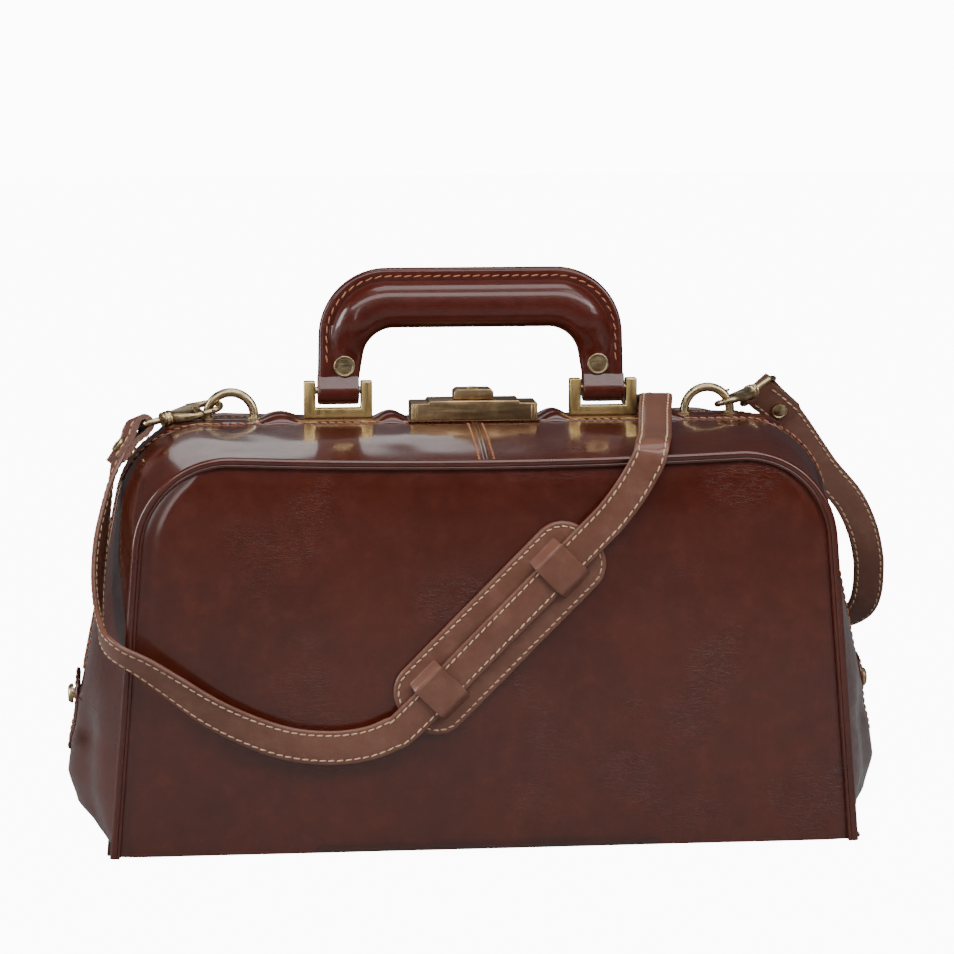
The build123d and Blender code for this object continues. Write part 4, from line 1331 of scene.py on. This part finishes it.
# half of the section, as (across, thickness), with a groove under each row of stitches
STRAP_SECTION = [(8.0, 0), (7.95, 0.55), (7.7, 0.95), (7.3, 1.15)]
STRAP_SECTION += [(6.4, 1.2), (5.9, 1.08), (5.4, 1.22), (3.5, 1.3)]
STRAP_SECTION += [(0, 1.34)] + [(-a, t) for a, t in reversed(STRAP_SECTION[1:])]
STRAP_SECTION += [(-a, -t) for a, t in STRAP_SECTION]


def strap_ring(at):
    """The strap's section at one of its frames."""
    p, across, up = at
    return [p + (across * a + up * t) * MM for a, t in STRAP_SECTION]


def strap_rows(name, line, deep):
    """The four rows of stitches on a stretch: two edges on both faces, deep being the face's height."""
    rows = []
    for face in (1, -1):
        ways = [up * face for p, across, up in line]
        for edge in (1, -1):
            points = []
            for (p, across, up), height in zip(line, deep):
                points.append(p + (across * edge * SEAM_IN + up * face * height) * MM)
            rows.append(stitch_row("strap_row", points, ways, cream_thread, slant=6))
    return joined(name, rows)


SEAM_IN, SEAM_HIGH = 5.9, 1.12
start = 0
for name, run in STATIONS.items():
    end = min(start + len(run) * FINE, len(strap_frames) - 1)
    span = strap_frames[start : end + 1]
    rings = [strap_ring(f) for f in span]
    piece = ring_sweep("strap_" + name + "_leather", rings, strap_leather, "strap_leather")
    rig.replaces(piece, "strap_" + name)
    thread = strap_rows("strap_" + name + "_stitches", span, [SEAM_HIGH] * len(span))
    for part in (piece, thread):
        if name.endswith("drop"):
            still, moving = (span[-1][0], span[0][0]) if name == "right_drop" else (span[0][0], span[-1][0])
            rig.blend(part, "bag", "rear_half", start=still, end=moving)
        else:
            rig.ride(part, "bag")
    start = end

# %% [markdown]
# ## Strap ends
# At each hook the strap is folded round the swivel's bar and riveted to itself.  The fold is a
# loop with a flat lap, carried straight across the strap's width.

# %% folded and riveted ends
LAP = 21.0
BARS = {
    "left": ((-159.98, -8.44, 192.38), (-0.5416, -0.4086, -0.7347), (-0.339, 0.9059, -0.2539)),
    "right": ((148.18, 35.64, 200.32), (0.7312, 0.2259, -0.6437), (-0.6819, 0.2688, -0.6803)),
}


# the fold's outer face from the bar to the lap's end, and a shrink share for each place across the strap's width
FOLD_FACE = [(3.4, 4.6), (6, 3.6), (9, 2.75), (13, 2.6), (LAP, 2.55)]
FOLD_SLIT = [(3.2, 1.7), (5.6, 0.9), (8.6, 0.1), (11, 0.03), (LAP, 0.03)]
FOLD_ROUND = [(-8, 0.55), (-7.9, 0.8), (-7.5, 0.95), (-6.8, 1), (0, 1)]
FOLD_ROUND += [(-a, small) for a, small in reversed(FOLD_ROUND[:-1])]


def fold_loop():
    """The fold's outline: its outer face round the bar, then its inner face back to the lap."""
    outline = list(reversed(FOLD_FACE)) + [on_circle(4.95, a) for a in range(70, 291, 20)]
    outline += [(a, -b) for a, b in FOLD_FACE]
    outline += [(a, -b) for a, b in reversed(FOLD_SLIT)]
    return outline + [on_circle(2.3, a) for a in range(300, 59, -24)] + FOLD_SLIT


for word, (bar, run, bar_way) in BARS.items():
    bar, run, bar_way = Vector(bar) * MM, Vector(run), Vector(bar_way)
    up = bar_way.cross(run)
    rings = []
    for across, small in FOLD_ROUND:
        rings.append([bar + (run * a + up * b + bar_way * across) * MM for a, b in fold_loop()])
    end = ring_sweep("strap_fold_" + word, rings, strap_leather, "strap_leather", sharp=45)
    stand_in(end, "rear_half", "strap_end_" + word)
    seam = [(1.0, 4.9)] + FOLD_FACE
    line = [(bar + run * a * MM, bar_way, up) for a, b in seam]
    thread = strap_rows("fold_stitches_" + word, line, [b for a, b in seam])
    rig.ride(thread, "rear_half")
print("laps", LAP, "mm from each bar")

# %% [markdown]
# ## Shoulder pad
# The pad is a lozenge of thick leather behind the strap, stitched all round, with two bridges that
# the strap is threaded under.  Its face is gently crowned, and each bridge is an arched strip that
# sinks into the pad beside a dark slit.

# %% shoulder pad
PAD_BACK, PAD_FACE = -81.7, -84.6
PAD_LONG, PAD_WIDE, PAD_CORNER = 120.0, 38.0, 15.0
BRIDGE, BRIDGE_AT, BRIDGE_THICK, SEAM_INSET = 17.0, 39.5, 1.6, 2.4
pad_way, pad_cross = PAD_RUN.normalized(), Vector(PAD_ACROSS).normalized()


def pad_point(along, across, y):
    """A point of the pad from millimetres along it, across it and the height y."""
    p = PAD_MIDDLE + pad_way * along + pad_cross * across
    return Vector((p.x, y, p.z)) * MM


def lozenge(inset, n=12):
    """The pad's outline, smaller by inset, as (along, across)."""
    points, r = [], max(PAD_CORNER - inset, 0.6)
    long, wide = PAD_LONG / 2 - inset, PAD_WIDE / 2 - inset
    for quarter, (sx, sy) in enumerate(((1, 1), (-1, 1), (-1, -1), (1, -1))):
        for k in range(n + 1):
            angle = math.radians(90 * quarter + 90 * k / n)
            points.append((sx * (long - r) + r * math.cos(angle), sy * (wide - r) + r * math.sin(angle)))
    return points


def pad_bow(along, across):
    """The pad's slight waist along its sides."""
    return across * (1 - 0.05 * math.cos(along / PAD_LONG * math.tau) * 0.5 - 0.025)


# from the back round the edge to the crowned face, as (inset, y)
PAD_EDGE = [(7, PAD_BACK), (1.2, PAD_BACK), (0.35, PAD_BACK - 0.35), (0, PAD_BACK - 1.2)]
PAD_EDGE += [(0.1, PAD_BACK - 2.1), (0.7, PAD_FACE + 0.15), (1.6, PAD_FACE)]
PAD_EDGE += [(SEAM_INSET, PAD_FACE + 0.25), (3.2, PAD_FACE), (6, PAD_FACE - 0.1)]
PAD_EDGE += [(10, PAD_FACE - 0.15), (14, PAD_FACE - 0.15)]
rings = [[pad_point(a, pad_bow(a, c), y) for a, c in lozenge(inset)] for inset, y in PAD_EDGE]
pad = ring_sweep("pad_leather", rings, strap_leather, "strap_leather", sharp=60)
bridges = []
for at in (-BRIDGE_AT, BRIDGE_AT):
    rows = []
    for k in range(33):
        across = lerp(-14.5, 14.5, k / 32)
        lift = 6.45 * ease((13.2 - abs(across)) / 5.2) - 0.5
        waist = BRIDGE * (1 - 0.06 * ease((abs(across) - 6) / 8))
        row = []
        for c in range(11):
            t = c / 10
            row.append(pad_point(at + waist * (t - 0.5), across, PAD_FACE - lift + 0.35 * (2 * t - 1) ** 4))
        rows.append(row)
    bridges.append(leather_sheet("bridge", rows, BRIDGE_THICK * MM, strap_leather, edge=0.2 * MM))
pad = joined("pad_leather", [pad] + bridges)
stand_in(pad, "shoulder_pad", "shoulder_pad")
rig.padded(pad, fill=0.8)
seam = [pad_point(a, pad_bow(a, c), PAD_FACE + 0.2) for a, c in lozenge(SEAM_INSET)]
seam.append(seam[0])
facing = [Vector((0, -1, 0))] * len(seam)
stitch_row("pad_stitches", seam, facing, cream_thread, "shoulder_pad", slant=-8, pitch=3.7 * MM)
print(pad.name, len(pad.data.vertices), "points")

# %% [markdown]
# ## Lock
# The lock case is a stepped box of pressed metal with rounded rims and a bead at each end of its
# face.  It could be cut from a block, but pressed metal has no sharp edge, so its outline is made
# into a plate and every edge is bevelled.  The catch, the plate and the key barrel are already
# right as solids and only get the finish.

# %% lock case with pressed rims
case_low, case_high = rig.box("lock_case")
STEP_LONG, STEP_DEEP = 8.5 * MM, 1.2 * MM


def plate_prism(name, outline, y_near, y_far, finish, slot, bevel):
    """A plate with an outline in XZ between two depths, with rounded edges."""
    n = len(outline)
    points = [Vector((x, y, z)) for y in (y_near, y_far) for x, z in outline]
    faces = [tuple(range(n)), tuple(range(2 * n - 1, n - 1, -1))]
    faces += [(i, (i + 1) % n, (i + 1) % n + n, i + n) for i in range(n)]
    mesh = bmesh.new()
    verts = [mesh.verts.new(p) for p in points]
    for f in faces:
        mesh.faces.new([verts[i] for i in f])
    bmesh.ops.recalc_face_normals(mesh, faces=mesh.faces)
    bmesh.ops.bevel(mesh, geom=mesh.edges[:], offset=bevel, segments=3, affect="EDGES", profile=0.5)
    points = [v.co.copy() for v in mesh.verts]
    mesh.verts.index_update()
    faces = [tuple(v.index for v in f.verts) for f in mesh.faces]
    mesh.free()
    return make_piece(name, points, faces, finish, slot, sharp=35)


STEP_IN, STEP_Z, FACE_Y = LOCK_HALF - STEP_LONG, case_high.z - STEP_DEEP, case_low.y + 0.3 * MM
outline = [(-LOCK_HALF, case_low.z), (-LOCK_HALF, STEP_Z), (-STEP_IN, STEP_Z), (-STEP_IN, case_high.z)]
outline += [(-x, z) for x, z in reversed(outline)]
case = plate_prism("lock_shell", outline, FACE_Y, case_high.y, lock_bronze, "lock_bronze", 0.7 * MM)
BEAD_ENDS = ((case_low.z + 0.3 * MM, 0.4), (case_low.z + 0.8 * MM, 1))
BEAD_ENDS += ((case_high.z - 2.6 * MM, 1), (case_high.z - 2.0 * MM, 0.4))
BEAD_TALL = 0.35 * MM
beads = []
for side in (-1, 1):
    for x, wide in ((LOCK_HALF - 2.6 * MM, 0.45 * MM), (LOCK_HALF - 1.1 * MM, 0.35 * MM)):
        rings = []
        for z, small in BEAD_ENDS:
            ring = []
            for k in range(8):
                c, s = on_circle(small, 45 * k)
                ring.append(Vector((side * x + wide * c, FACE_Y + BEAD_TALL * s, z)))
            rings.append(ring)
        beads.append(ring_sweep("bead", rings, lock_bronze))
case = joined("lock_shell", [case] + beads)
stand_in(case, "front_half", "lock_case")
print(case.name, len(case.data.vertices), "points")

# %% [markdown]
# ## Snap hooks
# Each end of the strap has a cast snap hook: a round hook that closes on the ring, a swelling body
# that holds the spring gate, a turned collar, and a flat eye that swivels for the strap.  Castings
# have no sharp corners, so the body is a stack of oval sections along the hook's own axis, the
# hook and the eye are rods bent along a path, and the collar is turned.

# %% frames, bent rods and turned parts
HOOKS = {
    "left": {
        "leg": (-126.65, 6, 199.42), "axis": (-0.9008, -0.3904, -0.1902), "up": (-0.0989, -0.2421, 0.9652),
        "eye": (-0.9008, -0.3904, -0.1902), "bar": (-0.339, 0.9059, -0.2539),
    },
    "right": {
        "leg": (126.65, 6, 199.42), "axis": (0.6401, 0.7629, 0.0909), "up": (-0.2882, 0.1288, 0.9489),
        "eye": (0.4606, 0.8803, -0.1139), "bar": (-0.6819, 0.2688, -0.6803),
    },
}
HOOK_LONG, LOOP_R = 25.0, 5.6


def local_frame(origin, x_way, z_way):
    """A frame in metres whose own points are given in millimetres."""
    x = Vector(x_way).normalized()
    z = (Vector(z_way) - x * Vector(z_way).dot(x)).normalized()
    turn = Matrix((x, z.cross(x), z)).transposed().to_4x4()
    return Matrix.Translation(Vector(origin) * MM) @ turn @ Matrix.Scale(MM, 4)


def bent_rod(name, at, path, radii, finish, closed=False):
    """A round rod bent along a path in its frame's XY plane."""
    rings, last = [], len(path) - 1
    for i, p in enumerate(path):
        before = path[i - 1] if closed else path[max(i - 1, 0)]
        after = path[(i + 1) % len(path)] if closed else path[min(i + 1, last)]
        way = (Vector(after) - Vector(before)).normalized()
        side = Vector((-way.y, way.x))
        r = radii[i] if isinstance(radii, list) else radii
        ring = []
        for k in range(12):
            out, high = on_circle(r, 30 * k)
            ring.append(at @ Vector((p[0] + side.x * out, p[1] + side.y * out, high)))
        rings.append(ring)
    return ring_sweep(name, rings, finish, closed=closed, sharp=70)


def turned(name, at, profile, finish, around=28):
    """A turned part about its frame's X axis, from (x, radius) pairs."""
    rings = []
    for x, r in profile:
        rings.append([at @ Vector((x, *on_circle(r, 360 * k / around))) for k in range(around)])
    return ring_sweep(name, rings, finish, sharp=50)


def soft_corners(corners, radius, n=6):
    """A closed path with rounded corners."""
    path = []
    for i, corner in enumerate(corners):
        c = Vector(corner)
        a, b = Vector(corners[i - 1]), Vector(corners[(i + 1) % len(corners)])
        start, end = c + (a - c).normalized() * radius, c + (b - c).normalized() * radius
        path += [lerp(lerp(start, c, k / n), lerp(c, end, k / n), k / n) for k in range(n + 1)]
    return path


print("hook frames", list(HOOKS))

# %% hooks, collars and eyes
BODY_SECTIONS = (
    (5.6, -6.6, 7.2, 1.5), (6.1, -7.1, 7.7, 2.1), (7.4, -7.2, 7.9, 2.4), (10.5, -6.9, 7.9, 2.6),
    (14.0, -5.9, 7.5, 2.7), (17.0, -4.6, 6.0, 2.9), (19.2, -3.6, 4.2, 3.0), (20.2, -3.1, 3.2, 2.8),
)
COLLAR = (
    (20.2, 2.6), (20.4, 3.5), (20.7, 3.8), (21.6, 3.8), (21.9, 3.3), (22.3, 3.3), (22.6, 3.75), (23.4, 3.75),
    (23.7, 3.2), (24.1, 3.2), (24.5, 3.6), (25.2, 3.5), (25.6, 2.4),
)
EYE_CORNERS = ((-0.4, -1.2), (4.6, -9.9), (12.0, -9.9), (12.0, 9.9), (4.6, 9.9), (-0.4, 1.2))
for word, hook in HOOKS.items():
    at = local_frame(hook["leg"], hook["axis"], hook["up"])
    path = [(9 - 1.5 * k, -LOOP_R - 0.1 * (6 - k)) for k in range(6)]
    path += [on_circle(LOOP_R, a) for a in range(-90, -271, -12)]
    radii = [lerp(2.0, 1.5, ease(i / 7)) for i in range(len(path))] + [1.45, 0.9]
    path += [(0.9, LOOP_R), (1.25, LOOP_R)]
    loop = bent_rod("loop", at, path, radii, antique_brass)
    rings = []
    for x, low, high, thick in BODY_SECTIONS:
        ring = []
        for k in range(28):
            c, s = on_circle(1, 360 * k / 28)
            y = (low + high) / 2 + (high - low) / 2 * math.copysign(abs(c) ** 0.75, c)
            ring.append(at @ Vector((x, y, thick * math.copysign(abs(s) ** 0.7, s))))
        rings.append(ring)
    body = ring_sweep("body", rings, antique_brass, sharp=55)
    hook_piece = joined("snap_hook_" + word, [body, loop])
    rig.slot(hook_piece, "antique_brass")
    stand_in(hook_piece, "rear_half", "hook_" + word)

    tip = Vector(hook["leg"]) + Vector(hook["axis"]) * HOOK_LONG
    eye_frame = local_frame(tip, hook["eye"], Vector(hook["eye"]).cross(Vector(hook["bar"])))
    outline = soft_corners(EYE_CORNERS, 2.2)
    eye = bent_rod("eye", eye_frame, [tuple(p) for p in outline], 1.35, antique_brass, closed=True)
    collar = turned("collar", at, COLLAR, antique_brass)
    swivel = joined("swivel_eye_" + word, [eye, collar])
    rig.slot(swivel, "antique_brass")
    stand_in(swivel, "rear_half", "swivel_" + word)
    print(hook_piece.name, len(hook_piece.data.vertices), swivel.name, len(swivel.data.vertices))

# %% [markdown]
# ## Brackets, button and rivets
# The handle brackets are sawn plates with softened edges, the lock's button is a block that the
# thumb slides, and every rivet has a shallow domed head with a raised rim.

# %% brackets and button
POST, BRACKET_BASE = 5.6 * MM, 4.9 * MM
for word in ("left", "right"):
    low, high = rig.box("bracket_" + word)
    top, inner_low = high.z, low.z + BRACKET_BASE
    outline = [
        (low.x, low.z), (high.x, low.z), (high.x, top), (high.x - POST, top), (high.x - POST, inner_low),
        (low.x + POST, inner_low), (low.x + POST, top), (low.x, top),
    ]
    name = "handle_bracket_" + word
    plate = plate_prism(name, outline, low.y, high.y, bracket_brass, "bracket_brass", 0.65 * MM)
    stand_in(plate, "rear_half", "bracket_" + word)
low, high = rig.box("lock_button")
low.z = case_high.z + 0.2 * MM
shoulder = high.z - 1.2 * MM
outline = [(low.x, low.z), (high.x, low.z), (high.x, shoulder)]
outline += [(high.x - 1.6 * MM, high.z), (low.x + 1.6 * MM, high.z), (low.x, shoulder)]
button = plate_prism("lock_thumb_button", outline, low.y, high.y, lock_bronze, "lock_bronze", 0.5 * MM)
stand_in(button, "lock_button", "lock_button")
print("brackets and button made")

# %% rivet heads
# up the rim, over it and across the dome, as shares of the head's height and radius
RIVET_HEAD = ((0, 1), (0.55, 1), (0.8, 0.96), (0.85, 0.88), (0.62, 0.8), (0.7, 0.6), (0.85, 0.3), (0.9, 0.02))


def rivet(name, centre, way, radius, finish, tall=1.0):
    """A domed rivet head with a raised rim, facing one way; centre and radius in millimetres."""
    across = Vector(way).orthogonal()
    at = local_frame(centre, way, across)
    profile = [(-0.5, radius * 0.9)] + [(tall * high, radius * out) for high, out in RIVET_HEAD]
    return turned(name, at, profile, finish, around=32)


heads = []
for side in (-1, 1):
    for face in (-1, 1):
        centre = Vector((side * RIVET_X, HANDLE_Y + face * 4.2 * MM, RIVET_Z)) / MM
        heads.append(rivet("head", centre, (0, face, 0), 5.2, antique_brass, 1.3))
heads = joined("handle_rivet_heads", heads)
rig.slot(heads, "antique_brass")
stand_in(heads, "handle", "handle_rivets")
for word, (bar, run, bar_way) in BARS.items():
    bar, run, bar_way = Vector(bar), Vector(run), Vector(bar_way)
    up = bar_way.cross(run)
    heads = []
    for face in (-1, 1):
        centre = bar + run * 13.5 + up * face * 3.0
        heads.append(rivet("head", centre, up * face, 4.0, antique_brass, 1.7))
    heads = joined("strap_rivet_heads_" + word, heads)
    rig.slot(heads, "antique_brass")
    stand_in(heads, "rear_half", "strap_rivet_" + word)
print("rivets made")

# %% [markdown]
# ## Floor, light and camera
# A bag like this is shown on a white sweep under large soft boxes.  Polished leather shows its
# surroundings, so the lights are few and broad: one above for the handle and the frame, tall ones
# at the sides for the panel's edges and the gussets, one in front, and one that lights the floor,
# which then fills the lower face from below.  The sweep glows only where the camera sees it.

# %% floor
white_floor, tree, shader = blank_material("white_floor")
place = tree.nodes.new("ShaderNodeTexCoord").outputs["Object"]
paper = blended(tree, cloud(tree, place, 3, 2), (0.30, 0.30, 0.30, 1), (0.34, 0.34, 0.34, 1))
wire(tree, paper, shader.inputs["Base Color"])
shader.inputs["Roughness"].default_value = 0.75
glow = node(tree, "ShaderNodeEmission", strength_in=14.0)
seen = tree.nodes.new("ShaderNodeLightPath")
either = tree.nodes.new("ShaderNodeMixShader")
wire(tree, times(tree, seen.outputs["Is Camera Ray"], 0.8), either.inputs[0])
wire(tree, shader.outputs[0], either.inputs[1])
wire(tree, glow.outputs[0], either.inputs[2])
wire(tree, either.outputs[0], tree.nodes["Material Output"].inputs["Surface"])
REACH = 6.0
corners = [Vector((x * REACH, y * REACH, 0)) for x, y in ((-1, -1), (1, -1), (1, 1), (-1, 1))]
floor = make_piece("floor", corners, [(0, 1, 2, 3)], white_floor)
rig.stage(floor)

# %% soft boxes
def soft_box(name, place, target, wide, tall, power):
    """A large area light that faces a point."""
    light = bpy.data.lights.new(name, "AREA")
    light.shape = "RECTANGLE"
    light.size, light.size_y, light.energy = wide, tall, power
    lamp = bpy.data.objects.new(name, light)
    bpy.context.scene.collection.objects.link(lamp)
    lamp.location = place
    lamp.visible_camera = False
    lamp.rotation_euler = (Vector(target) - Vector(place)).to_track_quat("-Z", "Y").to_euler()
    return lamp


soft_box("top_box", (0.1, -0.3, 1.35), (0, -0.02, 0.1), 0.9, 0.6, 6.5)
soft_box("left_box", (-0.66, -1.9, 0.45), (-0.15, 0, 0.12), 0.22, 0.9, 2.2)
soft_box("side_box", (-1.4, -0.3, 0.5), (-0.15, 0, 0.12), 0.5, 0.9, 15)
soft_box("right_box", (1.1, -0.9, 0.75), (0.15, 0, 0.12), 0.5, 0.8, 5)
soft_box("front_box", (1.0, -1.4, 1.9), (0, 0, 0.1), 1.0, 0.6, 4.5)
soft_box("rear_box", (-0.3, 1.6, 1.1), (-0.1, 0, 0.1), 1.0, 0.3, 1.4)
soft_box("floor_box", (0.1, -0.42, 0.5), (0.1, -0.36, 0), 1.1, 0.2, 3.5)

world = bpy.data.worlds.new("studio")
bpy.context.scene.world = world
world.use_nodes = True
tree = world.node_tree
sky = tree.nodes["Background"]
backdrop = node(tree, "ShaderNodeBackground", strength_in=12.0)
backdrop.inputs["Color"].default_value = (1, 1, 1, 1)
sky.inputs["Color"].default_value = (0.9, 0.92, 1.0, 1)
sky.inputs["Strength"].default_value = 0.07
seen = tree.nodes.new("ShaderNodeLightPath")
either = tree.nodes.new("ShaderNodeMixShader")
wire(tree, seen.outputs["Is Camera Ray"], either.inputs[0])
wire(tree, sky.outputs[0], either.inputs[1])
wire(tree, backdrop.outputs[0], either.inputs[2])
wire(tree, either.outputs[0], tree.nodes["World Output"].inputs["Surface"])
print("lights", len(bpy.data.lights))

# %% camera
camera = bpy.data.objects.new("camera", bpy.data.cameras.new("camera"))
bpy.context.scene.collection.objects.link(camera)
camera.data.lens, camera.data.sensor_width = 117.9, 36
camera.data.clip_end = 50
camera.location = (-0.1438, -1.4931, 0.388)
camera.rotation_euler = (math.radians(81.519), 0, math.radians(-5.598))
bpy.context.scene.camera = camera
print("camera", [round(v, 3) for v in camera.location])

bpy.context.view_layer.update()
low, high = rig.bounds()
with open("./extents.json", "w") as f:
    json.dump([list(cad_low), list(cad_high), list(low), list(high)], f)
print("past the solid model by, in mm", [round((a - b) / MM, 1) for a, b in zip(cad_low, low)])
print("and at the far corner by", [round((b - a) / MM, 1) for a, b in zip(cad_high, high)])
